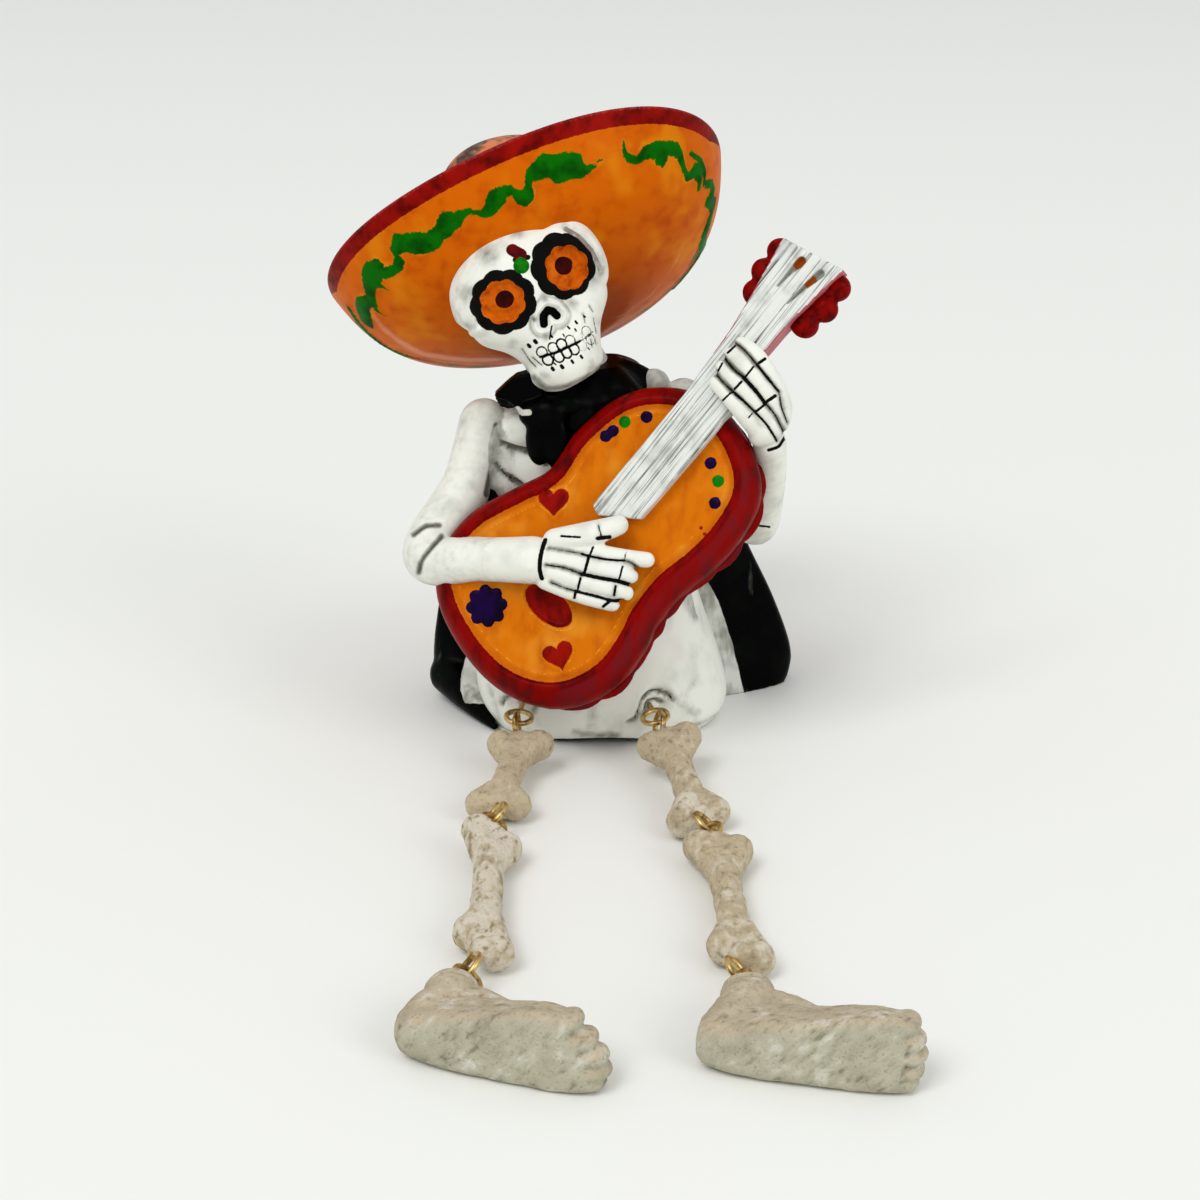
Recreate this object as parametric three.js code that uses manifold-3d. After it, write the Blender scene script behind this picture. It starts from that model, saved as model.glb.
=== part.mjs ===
// A small cast shelf sitter: a seated skeleton in a wide hat and cape who plays a guitar.
// Its legs are loose cast bones that hang from linked brass screw eyes.
// Millimetres, +Z up. The origin is the middle of the flat seat underside, the figure
// faces -Y, and +X is on the right of someone who looks at its face.
import * as THREE from 'three';
import { mergeVertices } from 'three/addons/utils/BufferGeometryUtils.js';
import Module from 'manifold-3d';

const wasm = await Module();
wasm.setup();

const DEG = Math.PI / 180;

// Clearance between a shank and its hole, and between two linked rings.
const GAP = 0.3;

// Seat, belly, chest and neck: half width, front, back and middle at each height.
const BODY_SECTIONS = [
  { z: 0, half: 23.2, front: 20.6, back: 19.0, mid: 0.4 },
  { z: 4, half: 25.2, front: 22.6, back: 20.5, mid: 0.5 },
  { z: 12, half: 25.2, front: 22.8, back: 20.5, mid: 0.3 },
  { z: 22, half: 22.8, front: 21.0, back: 19.0, mid: 0.0 },
  { z: 32, half: 18.6, front: 17.0, back: 16.5, mid: -0.8 },
  { z: 44, half: 16.8, front: 14.5, back: 14.0, mid: -1.8 },
  { z: 55, half: 18.0, front: 13.5, back: 13.0, mid: -2.6 },
  { z: 63, half: 15.5, front: 10.5, back: 11.5, mid: -3.0 },
  { z: 69, half: 8.5, front: 8.0, back: 8.0, mid: -4.5 },
  { z: 80, half: 6.5, front: 9.0, back: 4.0, mid: -9.0 },
];
const BODY_SQUARENESS = 0.88;

// Cape: left and right edges, how far back those edges lie, and how far it bulges behind.
const CAPE_SECTIONS = [
  { z: 0, left: -32.0, right: 39.0, leftBack: 7, rightBack: 13, leftFront: 19, rightFront: 8, bulge: 15 },
  { z: 7, left: -34.2, right: 39.8, leftBack: 6.5, rightBack: 12.5, leftFront: 13, rightFront: 6, bulge: 16 },
  { z: 19, left: -33.0, right: 35.8, leftBack: 5, rightBack: 10.5, leftFront: 4, rightFront: 3.5, bulge: 15.5 },
  { z: 33, left: -30.0, right: 29.5, leftBack: 3.5, rightBack: 8, leftFront: 3, rightFront: 3, bulge: 13.5 },
  { z: 50, left: -25.4, right: 23.2, leftBack: 2, rightBack: 5, leftFront: 3, rightFront: 3, bulge: 12 },
  { z: 67, left: -15.5, right: 9.0, leftBack: 0, rightBack: 1, leftFront: 3, rightFront: 3, bulge: 9 },
];
const CAPE_FOLDS = 8;
const CAPE_FOLD_DEPTH = 0.9;

// Ruffled collar and hanging bow of the kerchief.
const COLLAR = {
  centre: [-3.6, -2.5, 69.4], half: 15.6, deep: 12.5, thick: 5.6, rise: 0.11, waves: 8, wave: 1.0,
};
const BOW_KNOT = { centre: [-9.5, -15.2, 65.6], radii: [4.2, 3.0, 3.4] };
const BOW_TAIL = { centre: [-9.2, -16.2, 60.6], radii: [4.0, 2.4, 5.6] };

// Head: middle of the cranium, and how it rolls, tips back and turns.
const HEAD = { centre: [-13.9, -6.0, 88.1], roll: -29 * DEG, tip: -15 * DEG, turn: 8 * DEG };
const CRANIUM = [15.0, 14.6, 13.6];
const FACE_SECTIONS = [
  { z: -20.0, half: 4.4, front: 10.6, back: -1.0, mid: -0.8 },
  { z: -18.7, half: 6.3, front: 12.2, back: 0.0, mid: -1.0 },
  { z: -16.0, half: 7.6, front: 13.2, back: 0.5, mid: -1.2 },
  { z: -12.6, half: 8.3, front: 13.4, back: 1.5, mid: 0.2 },
  { z: -9.0, half: 10.9, front: 13.2, back: 2.5, mid: 1.3 },
  { z: -4.5, half: 13.4, front: 12.8, back: 4.0, mid: 0.2 },
  { z: 2.0, half: 13.6, front: 13.2, back: 5.0, mid: 0.4 },
  { z: 8.0, half: 10.0, front: 11.5, back: 5.0, mid: 0.0 },
];
const TEMPLE = { at: [10.5, -7.2, 2.2], radii: [5.8, 6.0, 5.2] };
const EYE_SPREAD = 6.4;
const EYE_FRONT = 14.3;
const EYE_RADIUS = 5.6;
const PUPIL_RADIUS = 1.8;
const NOSE = { at: [-0.5, -13.9, -6.8], radii: [1.5, 1.4, 1.9] };
const MOUTH = { z: -12.7, half: 5.6, front: 13.9, mid: -0.7, groove: 0.9 };

// Sombrero: a shallow cone of a brim that curls up steeply at its oval rim.
const HAT = {
  centre: [-6.2, 4.0, 74.6], tip: 37.9 * DEG, lean: 18.4 * DEG,
  radius: 39.3, rise: 13.1, curl: 13.15, curlPower: 9, thick: 2.4, lip: 0.3,
  oval: 0.052, ovalTurn: -8 * DEG, warp: 1.3, warpTurn: -13.5 * DEG, flatRadius: 14,
};
const CROWN = {
  across: -1.0, shift: -6, foot: 6.8, top: 41.2, footRadius: 14.5, topRadius: 12.2, dome: 7,
};

// Guitar: its own frame has u across, v up the neck and w out of the face.
const GUITAR_AT = new THREE.Vector3(1.3, -27.5, 46.5);
const GUITAR_NECK = new THREE.Vector3(0.618, 0.142, 0.773);
const GUITAR_FACE = new THREE.Vector3(-0.235, -0.905, 0.354);
const FACE_OUTLINE = [
  [-5.6, 25.9], [-11.4, 20.2], [-13.8, 10.7], [-13.4, 1.5], [-16.8, -6.4], [-20.2, -14.5],
  [-20.2, -22.0], [-16.8, -27.4], [-9.7, -30.9], [-1.2, -32.4], [6.0, -30.9], [11.4, -26.8],
  [14.3, -20.0], [14.1, -13.2], [13.0, -8.0], [12.9, -0.5], [14.4, 6.5], [15.1, 13.3],
  [13.8, 20.8], [9.2, 25.1], [1.5, 27.6],
];
// Rings of the guitar body from the back to the face: depth, how far it grows, its lean.
const BODY_RINGS = [
  { w: -10.4, grow: 2.6, lean: 1.0, frill: 0.9 },
  { w: -8.4, grow: 3.6, lean: 1.0, frill: 0.9 },
  { w: -7.6, grow: 3.4, lean: 0.9, frill: 0 },
  { w: -4.0, grow: 4.1, lean: 0.5, frill: 0 },
  { w: -1.4, grow: 3.1, lean: 0.2, frill: 0 },
  { w: 0.2, grow: 1.2, lean: 0, frill: 0 },
  { w: 0.1, grow: 0.2, lean: 0, frill: 0 },
  { w: -0.6, grow: 0.0, lean: 0, frill: 0 },
];
const BACK_LEAN = [1.3, -1.0];
const FRILL_LOBES = 22;
const FINGERBOARD = {
  outline: [
    [-5.0, 2.4], [-3.0, 1.4], [3.8, 6.0], [4.6, 28.0], [2.5, 44.0], [2.9, 52.0],
    [4.6, 64.6], [-8.1, 62.4], [-6.0, 50.2], [-5.1, 43.0], [-4.4, 28.8],
  ],
  bottom: -4.0, top: 2.2,
};
const HEADSTOCK_LOBES = [
  [-7.4, 60.2], [-7.4, 55.6], [-6.2, 51.6], [4.8, 61.4], [5.4, 57.0], [4.4, 52.6],
];
const LOBE_RADIUS = 2.9;

// Fillings of the casting between the belly and the guitar, and under the left arm.
const LAP_FILL = { centre: [-1.5, -15.0, 37.0], radii: [12.5, 8.5, 19.0] };
const ARMPIT_FILL = { centre: [-19.0, -5.0, 50.0], radii: [4.5, 5.5, 11.0] };

// Arms: joints from shoulder to wrist, with the radius there.
const LEFT_ARM = [
  { at: [-22.6, -0.8, 59.8], r: 4.9 },
  { at: [-25.8, -8.0, 49.4], r: 4.9 },
  { at: [-32.8, -17.8, 38.6], r: 5.0 },
  { at: [-22.4, -24.0, 39.9], r: 4.2 },
  { at: [-12.4, -29.4, 41.6], r: 4.6 },
];
const RIGHT_ARM = [
  { at: [16.6, 1.5, 61.6], r: 5.0 },
  { at: [24.6, -1.5, 51.0], r: 4.2 },
  { at: [30.2, -6.5, 40.8], r: 4.0 },
  { at: [32.2, -13.5, 51.0], r: 3.2 },
  { at: [31.8, -21.5, 62.0], r: 3.4 },
];

// Fingers in the guitar's frame, from the hand to the tip.
const FINGER_RADIUS = 1.6;
const PALMS = [
  { at: [-3.6, -10.8, 1.6], radii: [4.4, 4.8, 3.2] },
  { at: [11.6, 34.6, -3.4], radii: [3.2, 5.2, 3.6] },
];
const STRUMMING_FINGERS = [
  [[-5.0, -8.0, 3.4], [1.0, -4.3, 4.0], [6.2, -1.2, 3.2], [9.4, 0.8, 2.0]],
  [[-4.0, -10.2, 3.6], [1.8, -6.9, 4.2], [7.0, -4.1, 3.2], [9.0, -3.2, 2.2]],
  [[-3.0, -12.2, 3.6], [2.8, -9.6, 4.2], [8.2, -7.2, 3.2], [10.4, -6.2, 2.2]],
  [[-2.0, -14.0, 3.2], [3.6, -12.0, 3.8], [8.4, -10.0, 3.0], [9.8, -9.4, 2.2]],
];
const STRUMMING_THUMB = [[-5.4, -7.2, 4.0], [-0.8, -1.4, 4.6], [1.2, 2.4, 3.4]];
const FRETTING_FINGERS = [
  [[11.4, 38.4, -3.0], [8.2, 40.6, 1.0], [2.4, 42.6, 3.7], [-1.6, 42.6, 2.4]],
  [[12.4, 35.8, -3.2], [8.8, 38.0, 1.4], [2.6, 39.8, 3.9], [-1.8, 40.0, 2.6]],
  [[12.6, 33.4, -4.0], [8.8, 35.2, 1.2], [3.0, 36.8, 3.9], [-1.6, 37.2, 2.6]],
  [[12.0, 31.4, -5.0], [8.2, 32.6, 0.6], [3.2, 33.8, 3.4], [-0.8, 34.4, 2.4]],
];

// Grooves between the ribs, each from one end to the other as seen from the front.
const RIB_GROOVES = [
  [[-17.8, 59.0], [-10.6, 57.0]],
  [[-18.6, 55.0], [-12.0, 53.4]],
  [[-18.4, 50.6], [-13.6, 49.0]],
];
const RIB_GROOVE_RADIUS = 0.9;

// Screw eyes.
const EYE_RING = 2.45;
const EYE_WIRE = 0.55;
const EYE_SHANK = 2.8;
const LINK_HALF = EYE_RING - EYE_WIRE - GAP / 2;

// Links between neighbouring pieces. The first ring of a hip link lies flat, and that of
// a knee or an ankle is rolled by lie. The second ring of each link is square to it.
const LEGS = {
  left: {
    hip: [-15.8, -26.6, 7.6], knee: [-18.8, -62.4, 4.2], ankle: [-20.6, -117.0, 4.4],
    lie: -50 * DEG,
  },
  right: {
    hip: [11.0, -26.8, 7.8], knee: [19.0, -66.0, 4.2], ankle: [21.5, -118.2, 4.4],
    lie: 50 * DEG,
  },
};
const HIP_RECESS = { radii: [4.0, 2.2, 4.2], back: 22.6, up: 1.6 };

// Bones: middles of the two lobes at the top end and of the lobes at the bottom end.
const BONES = {
  left_thigh_bone: {
    top: [[-18.6, -33.6, 5.8], [-11.6, -33.3, 5.8]],
    bottom: [[-21.7, -54.0, 3.3], [-15.4, -54.6, 3.3]],
  },
  left_shin_bone: {
    top: [[-21.6, -68.2, 5.0], [-16.4, -72.0, 3.3]],
    bottom: [[-21.1, -102.2, 3.3], [-16.6, -108.8, 3.2], [-18.5, -110.0, 4.6]],
  },
  right_thigh_bone: {
    top: [[9.8, -34.6, 6.0], [16.4, -32.8, 7.2]],
    bottom: [[14.8, -61.4, 3.3], [20.6, -57.6, 3.4]],
  },
  right_shin_bone: {
    top: [[17.3, -71.6, 3.6], [23.9, -73.1, 3.4]],
    bottom: [[19.9, -106.7, 3.2], [25.0, -110.5, 3.2], [23.0, -111.4, 4.4]],
  },
};
const BONE_LOBE = 3.1;
const BONE_SHAFT = 3.0;

// Feet: on edge, soles to the front, toes to the right. A slant draws the upper toes back.
const FEET = {
  left: { heel: [-26.2, -133.4, 4.5], turn: -20 * DEG, slant: 0.5, ankle: [-22.6, -128.0, 5.6] },
  right: { heel: [18.6, -136.2, 4.5], turn: -13 * DEG, slant: 0, ankle: [22.6, -128.6, 5.4] },
};
const FOOT_SECTIONS = [
  { x: -4.0, bottom: -3.2, top: 2.2, front: -2.6, back: 3.0 },
  { x: -1.6, bottom: -4.4, top: 3.6, front: -4.2, back: 5.0 },
  { x: 6.0, bottom: -4.4, top: 4.8, front: -4.6, back: 5.4 },
  { x: 14.0, bottom: -4.4, top: 6.2, front: -4.6, back: 4.4 },
  { x: 22.0, bottom: -4.4, top: 7.8, front: -4.4, back: 3.4 },
  { x: 26.6, bottom: -4.2, top: 7.4, front: -3.6, back: 2.6 },
];
const TOES = [[26.6, 6.4], [27.5, 3.8], [27.9, 1.3], [27.6, -1.1], [26.9, -3.0]];
const TOE_RADIUS = 1.25;
const ANKLE_RADII = [4.7, 6.0, 4.6];

// Turns closed triangles into a solid for joining and cutting.
function toSolid(geometry) {
  const bare = geometry.clone();
  bare.deleteAttribute('normal');
  bare.deleteAttribute('uv');
  const merged = mergeVertices(bare, 1e-4);
  const kept = [];
  for (let i = 0; i < merged.index.count; i += 3) {
    const corners = [0, 1, 2].map((k) => merged.index.getX(i + k));
    if (new Set(corners).size === 3) {
      kept.push(...corners);
    }
  }
  return new wasm.Manifold(new wasm.Mesh({
    numProp: 3,
    vertProperties: new Float32Array(merged.attributes.position.array),
    triVerts: new Uint32Array(kept),
  }));
}

// Gives a solid back as triangles for a mesh.
function toGeometry(solid) {
  const mesh = solid.getMesh();
  const geometry = new THREE.BufferGeometry();
  geometry.setAttribute('position', new THREE.BufferAttribute(mesh.vertProperties, 3));
  geometry.setIndex(new THREE.BufferAttribute(mesh.triVerts, 1));
  geometry.computeVertexNormals();
  return geometry;
}

function joinAll(geometries) {
  return geometries.map(toSolid).reduce((whole, next) => whole.add(next));
}

function cutAll(solid, geometries) {
  return geometries.map(toSolid).reduce((whole, next) => whole.subtract(next), solid);
}

function named(name, solid, material) {
  const mesh = new THREE.Mesh(toGeometry(solid), material);
  mesh.name = name;
  return mesh;
}

// A closed body whose ring at height t (0 to 1) is given for each angle around it.
function loft(ring, middle, sides, steps) {
  const tube = new THREE.CylinderGeometry(1, 1, 1, sides, steps);
  const place = tube.attributes.position;
  for (let i = 0; i < place.count; i += 1) {
    const t = place.getY(i) + 0.5;
    const onRim = Math.hypot(place.getX(i), place.getZ(i)) > 0.5;
    const angle = Math.atan2(place.getX(i), place.getZ(i));
    const point = onRim ? ring(t, angle) : middle(t);
    place.setXYZ(i, point.x, point.y, point.z);
  }
  return tube;
}

// Smoothly blended values of a list of sections at t from 0 to 1.
function blend(sections, keys) {
  const curves = keys.map((key) => new THREE.SplineCurve(
    sections.map((section, i) => new THREE.Vector2(i, section[key])),
  ));
  return (t) => Object.fromEntries(keys.map((key, k) => [key, curves[k].getPoint(t).y]));
}

function roundish(value, power) {
  return Math.sign(value) * Math.abs(value) ** power;
}

// A closed body from sections given by half width, front, back and middle at each height.
function sectionBody(sections, squareness, sides, steps) {
  const at = blend(sections, ['z', 'half', 'front', 'back', 'mid']);
  const ring = (t, angle) => {
    const s = at(t);
    const across = roundish(Math.cos(angle), squareness);
    const deep = roundish(Math.sin(angle), squareness);
    return new THREE.Vector3(s.mid + s.half * across, deep * (deep > 0 ? s.back : s.front), s.z);
  };
  const middle = (t) => new THREE.Vector3(at(t).mid, (at(t).back - at(t).front) / 2, at(t).z);
  return loft(ring, middle, sides, steps);
}

function blob(centre, radii, sides = 14, rows = 10) {
  return new THREE.SphereGeometry(1, sides, rows).scale(...radii).translate(...centre);
}

// A limb with round ends: sections along a smooth line through its joints.
function limb(joints, sides, steps) {
  const line = new THREE.CatmullRomCurve3(joints.map(({ at }) => new THREE.Vector3(...at)));
  const thick = new THREE.SplineCurve(joints.map(({ r }, i) => new THREE.Vector2(i, r)));
  const section = (t) => {
    const step = Math.round(t * steps);
    const along = Math.min(Math.max((step - 1) / (steps - 2), 0), 1);
    const tip = step === 0 || step === steps;
    const radius = thick.getPoint(along).y;
    const way = line.getTangent(along);
    const push = tip ? radius * 0.75 * Math.sign(t - 0.5) : 0;
    const middle = line.getPoint(along).addScaledVector(way, push);
    return { middle, way, radius: tip ? radius * 0.6 : radius };
  };
  const ring = (t, angle) => {
    const { middle, way, radius } = section(t);
    const side = new THREE.Vector3(0.3, 0.2, 1).cross(way).normalize();
    const other = new THREE.Vector3().crossVectors(way, side);
    return middle
      .addScaledVector(side, radius * Math.cos(angle))
      .addScaledVector(other, radius * Math.sin(angle));
  };
  return loft(ring, (t) => section(t).middle, sides, steps);
}

// A groove cutter of even thickness along a short line.
function groove(points, radius) {
  return limb(points.map((at) => ({ at, r: radius })), 4, 3);
}

const guitarFrame = new THREE.Matrix4()
  .makeBasis(
    new THREE.Vector3().crossVectors(GUITAR_NECK, GUITAR_FACE).normalize(),
    GUITAR_NECK.clone().normalize(),
    GUITAR_FACE.clone().normalize(),
  )
  .setPosition(GUITAR_AT);

const headFrame = new THREE.Matrix4()
  .makeRotationFromEuler(new THREE.Euler(HEAD.tip, HEAD.roll, HEAD.turn, 'ZXY'))
  .setPosition(...HEAD.centre);

function hatFrame() {
  const axis = new THREE.Vector3(
    -Math.sin(HAT.lean),
    Math.sin(HAT.tip) * Math.cos(HAT.lean),
    Math.cos(HAT.tip) * Math.cos(HAT.lean),
  );
  const across = new THREE.Vector3(0, 1, 0).cross(axis).normalize();
  const back = new THREE.Vector3().crossVectors(axis, across);
  return new THREE.Matrix4().makeBasis(across, back, axis).setPosition(...HAT.centre);
}

// The seated torso, from the flat seat up to the neck inside the skull.
function torso() {
  return [
    sectionBody(BODY_SECTIONS, BODY_SQUARENESS, 18, 8),
    blob(LAP_FILL.centre, LAP_FILL.radii, 8, 5),
    blob(ARMPIT_FILL.centre, ARMPIT_FILL.radii, 6, 4),
  ];
}

// The cape hangs from the shoulders and spreads behind the seat down to the floor.
function cape() {
  const keys = ['z', 'left', 'right', 'leftBack', 'rightBack', 'leftFront', 'rightFront', 'bulge'];
  const at = blend(CAPE_SECTIONS, keys);
  const ring = (t, angle) => {
    const s = at(t);
    const across = Math.cos(angle);
    const side = (1 + across) / 2;
    const edgeBack = s.leftBack + (s.rightBack - s.leftBack) * side;
    const front = s.leftFront + (s.rightFront - s.leftFront) * side;
    const deep = roundish(Math.sin(angle), 0.8);
    const fold = CAPE_FOLD_DEPTH * Math.cos(CAPE_FOLDS * angle) * (1 - t);
    const y = edgeBack + (deep > 0 ? deep * (s.bulge + fold) : deep * front);
    return new THREE.Vector3(s.left + (s.right - s.left) * side, y, s.z);
  };
  const middle = (t) => new THREE.Vector3((at(t).left + at(t).right) / 2, 8, at(t).z);
  return [loft(ring, middle, 27, 5)];
}

// The kerchief's ruffled collar round the neck, with the bow that hangs from it.
function kerchief() {
  const [x, y, z] = COLLAR.centre;
  const ring = (t, angle) => {
    const wave = 1 + 0.05 * Math.cos(COLLAR.waves * angle);
    const wide = wave * (1 - 0.42 * t * t);
    const droop = COLLAR.wave * Math.cos(COLLAR.waves * angle + 1) * (1 - t);
    const tilt = COLLAR.rise * COLLAR.half * wide * Math.cos(angle);
    return new THREE.Vector3(
      x + COLLAR.half * wide * Math.cos(angle),
      y + COLLAR.deep * wide * Math.sin(angle),
      z + COLLAR.thick * (t - 0.5) + droop + tilt,
    );
  };
  const middle = (t) => new THREE.Vector3(x, y, z + COLLAR.thick * (t - 0.5));
  return [
    loft(ring, middle, 24, 2),
    blob(BOW_KNOT.centre, BOW_KNOT.radii, 7, 5),
    blob(BOW_TAIL.centre, BOW_TAIL.radii, 7, 5),
  ];
}

function skull() {
  const parts = [
    blob([0, 0, 0], CRANIUM, 14, 8),
    blob(TEMPLE.at, TEMPLE.radii, 8, 5),
    sectionBody(FACE_SECTIONS, 0.8, 12, 7),
  ];
  return parts.map((part) => part.applyMatrix4(headFrame));
}

// Eye hollows, the nose and the mouth, which are cut into the skull.
function skullCuts() {
  const cuts = [];
  for (const side of [-1, 1]) {
    cuts.push(blob([side * EYE_SPREAD, -EYE_FRONT, 0], [EYE_RADIUS, 1.6, EYE_RADIUS], 10, 4));
  }
  cuts.push(blob(NOSE.at, NOSE.radii, 6, 4));
  cuts.push(groove([
    [MOUTH.mid - MOUTH.half, -MOUTH.front + 1.6, MOUTH.z],
    [MOUTH.mid, -MOUTH.front, MOUTH.z],
    [MOUTH.mid + MOUTH.half, -MOUTH.front + 1.6, MOUTH.z],
  ], MOUTH.groove));
  return cuts.map((cut) => cut.applyMatrix4(headFrame));
}

function pupils() {
  return [-1, 1].map((side) => blob(
    [side * EYE_SPREAD, -EYE_FRONT + 1.9, 0],
    [PUPIL_RADIUS, 1.4, PUPIL_RADIUS],
    6,
    4,
  ).applyMatrix4(headFrame));
}

// Height of the brim's underside above its middle.
function brimHeight(radius) {
  const t = Math.max(radius, HAT.flatRadius) / HAT.radius;
  return HAT.rise * t + HAT.curl * t ** HAT.curlPower;
}

function brim() {
  const reach = [0, HAT.flatRadius, 26, 33, 37, HAT.radius];
  const under = reach.map((r) => new THREE.Vector2(r, brimHeight(r)));
  const edge = new THREE.Vector2(HAT.radius, brimHeight(HAT.radius) + HAT.lip);
  const above = [38.2, 34.5, 27, 0].map(
    (r) => new THREE.Vector2(r, brimHeight(r) + HAT.thick),
  );
  const geometry = new THREE.LatheGeometry([...under, edge, ...above], 28).rotateX(90 * DEG);
  const place = geometry.attributes.position;
  for (let i = 0; i < place.count; i += 1) {
    const x = place.getX(i);
    const y = place.getY(i);
    const angle = Math.atan2(y, x);
    const grow = 1 + HAT.oval * Math.cos(2 * (angle - HAT.ovalTurn));
    const t = Math.hypot(x, y) / HAT.radius;
    const lift = HAT.warp * t * t * Math.cos(2 * (angle - HAT.warpTurn));
    place.setXYZ(i, x * grow, y * grow, place.getZ(i) + lift);
  }
  return geometry;
}

function crown() {
  const { foot, top, footRadius, topRadius, dome } = CROWN;
  const profile = [[0, foot], [footRadius, foot], [footRadius * 0.9, foot + 12]];
  for (let i = 0; i <= 3; i += 1) {
    const a = (i / 3) * 90 * DEG;
    profile.push([topRadius * Math.cos(a), top - dome + dome * Math.sin(a)]);
  }
  profile[profile.length - 1][0] = 0;
  return new THREE.LatheGeometry(profile.map(([r, h]) => new THREE.Vector2(r, h)), 12)
    .rotateX(90 * DEG)
    .translate(CROWN.across, CROWN.shift, 0);
}

function hat() {
  return [brim(), crown()].map((part) => part.applyMatrix4(hatFrame()));
}

// The guitar's body: a recessed face in a rounded rim, over a frilled back.
function guitarBody() {
  const outline = new THREE.CatmullRomCurve3(
    FACE_OUTLINE.map(([u, v]) => new THREE.Vector3(u, v, 0)),
    true,
  );
  const at = blend(BODY_RINGS, ['w', 'grow', 'lean', 'frill']);
  const ring = (t, angle) => {
    const s = at(t);
    const way = (angle / (2 * Math.PI) + 1) % 1;
    const point = outline.getPoint(way);
    const tangent = outline.getTangent(way);
    const frill = s.frill * Math.abs(Math.sin(way * FRILL_LOBES * Math.PI));
    const grow = s.grow + frill;
    return new THREE.Vector3(
      point.x + tangent.y * grow + BACK_LEAN[0] * s.lean,
      point.y - tangent.x * grow + BACK_LEAN[1] * s.lean,
      s.w,
    );
  };
  const middle = (t) => new THREE.Vector3(0, -4, at(t).w);
  return loft(ring, middle, 2 * FRILL_LOBES, BODY_RINGS.length - 1);
}

function guitarNeck() {
  const shape = new THREE.Shape(FINGERBOARD.outline.map(([u, v]) => new THREE.Vector2(u, v)));
  const board = new THREE.ExtrudeGeometry(shape, {
    depth: FINGERBOARD.top - FINGERBOARD.bottom,
    bevelEnabled: false,
  }).translate(0, 0, FINGERBOARD.bottom);
  const lobes = HEADSTOCK_LOBES.map(
    ([u, v]) => blob([u, v, -1.6], [LOBE_RADIUS, LOBE_RADIUS, 2.4], 7, 4),
  );
  return [board, ...lobes];
}

function guitar() {
  return [guitarBody(), ...guitarNeck()].map((part) => part.applyMatrix4(guitarFrame));
}

function arms() {
  const fingers = [...STRUMMING_FINGERS, STRUMMING_THUMB, ...FRETTING_FINGERS].map(
    (points) => limb(points.map((at) => ({ at, r: FINGER_RADIUS })), 5, 4),
  );
  const palms = PALMS.map(({ at, radii }) => blob(at, radii, 6, 4));
  return [
    limb(LEFT_ARM, 8, 8),
    limb(RIGHT_ARM, 7, 8),
    ...[...fingers, ...palms].map((piece) => piece.applyMatrix4(guitarFrame)),
  ];
}

// How far forward the chest reaches at a place seen from the front.
function chestFront(x, z) {
  const above = BODY_SECTIONS.findIndex((section) => section.z > z);
  const [low, high] = [BODY_SECTIONS[above - 1], BODY_SECTIONS[above]];
  const mix = (key) => low[key] + ((z - low.z) / (high.z - low.z)) * (high[key] - low[key]);
  const across = (Math.abs(x - mix('mid')) / mix('half')) ** (1 / BODY_SQUARENESS);
  return -mix('front') * Math.sqrt(1 - across ** 2) ** BODY_SQUARENESS;
}

function ribGrooves() {
  return RIB_GROOVES.map((ends) => groove(
    ends.map(([x, z]) => [x, chestFront(x, z), z]),
    RIB_GROOVE_RADIUS,
  ));
}

// Direction of a leg from one link to the next.
function direction(from, to) {
  return new THREE.Vector3(...to).sub(new THREE.Vector3(...from)).normalize();
}

// Turns a piece made along +Z onto a direction, rolled about it, with its zero at a point.
function aim(geometry, at, way, roll) {
  const turn = new THREE.Quaternion().setFromUnitVectors(new THREE.Vector3(0, 0, 1), way);
  return geometry.rotateZ(roll).applyQuaternion(turn).translate(at.x, at.y, at.z);
}

// A ring with a shank that points along the given way, into the piece that holds it.
function screwEye({ centre, way, roll }) {
  const ring = new THREE.TorusGeometry(EYE_RING, EYE_WIRE, 4, 8).rotateX(90 * DEG);
  const length = EYE_SHANK + EYE_WIRE;
  const shank = new THREE.CylinderGeometry(EYE_WIRE, EYE_WIRE, length, 4)
    .rotateX(90 * DEG)
    .translate(0, 0, EYE_RING + length / 2);
  return joinAll([ring, shank].map((part) => aim(part, centre, way, roll)));
}

// The hole that a screw eye's shank sits in.
function shankHole({ centre, way, roll }) {
  const depth = EYE_SHANK + 2 * GAP + 4;
  const hole = new THREE.CylinderGeometry(EYE_WIRE + GAP, EYE_WIRE + GAP, depth, 4)
    .rotateX(90 * DEG)
    .translate(0, 0, EYE_RING + EYE_WIRE + EYE_SHANK + GAP - depth / 2);
  return aim(hole, centre, way, roll);
}

// Room for a ring, cleared out of the piece that holds it.
function ringRoom({ centre, way, roll }) {
  const reach = EYE_RING + EYE_WIRE + GAP;
  return aim(new THREE.SphereGeometry(reach, 8, 4), centre, way, roll);
}

// A link has two rings: one held by the piece before it and one by the piece after it.
function linkAt(middle, way, lie) {
  const ringAt = (side) => new THREE.Vector3(...middle).addScaledVector(way, side * LINK_HALF);
  return {
    before: { centre: ringAt(-1), way: way.clone().negate(), roll: lie },
    after: { centre: ringAt(1), way, roll: 90 * DEG - lie },
  };
}

// A cast bone: a waisted shaft with round lobes at each end.
function bone({ top, bottom }) {
  const middleOf = (pair) => new THREE.Vector3(...pair[0]).lerp(new THREE.Vector3(...pair[1]), 0.5);
  const from = middleOf(top);
  const to = middleOf(bottom);
  const shaft = limb([
    { at: from.toArray(), r: BONE_LOBE },
    { at: from.clone().lerp(to, 0.5).toArray(), r: BONE_SHAFT },
    { at: to.toArray(), r: BONE_LOBE },
  ], 6, 4);
  const lobes = [...top, ...bottom].map((at, i) => {
    const r = i < 4 ? BONE_LOBE : BONE_LOBE * 0.7;
    return blob(at, [r, r, r], 6, 5);
  });
  return joinAll([shaft, ...lobes]);
}

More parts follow.
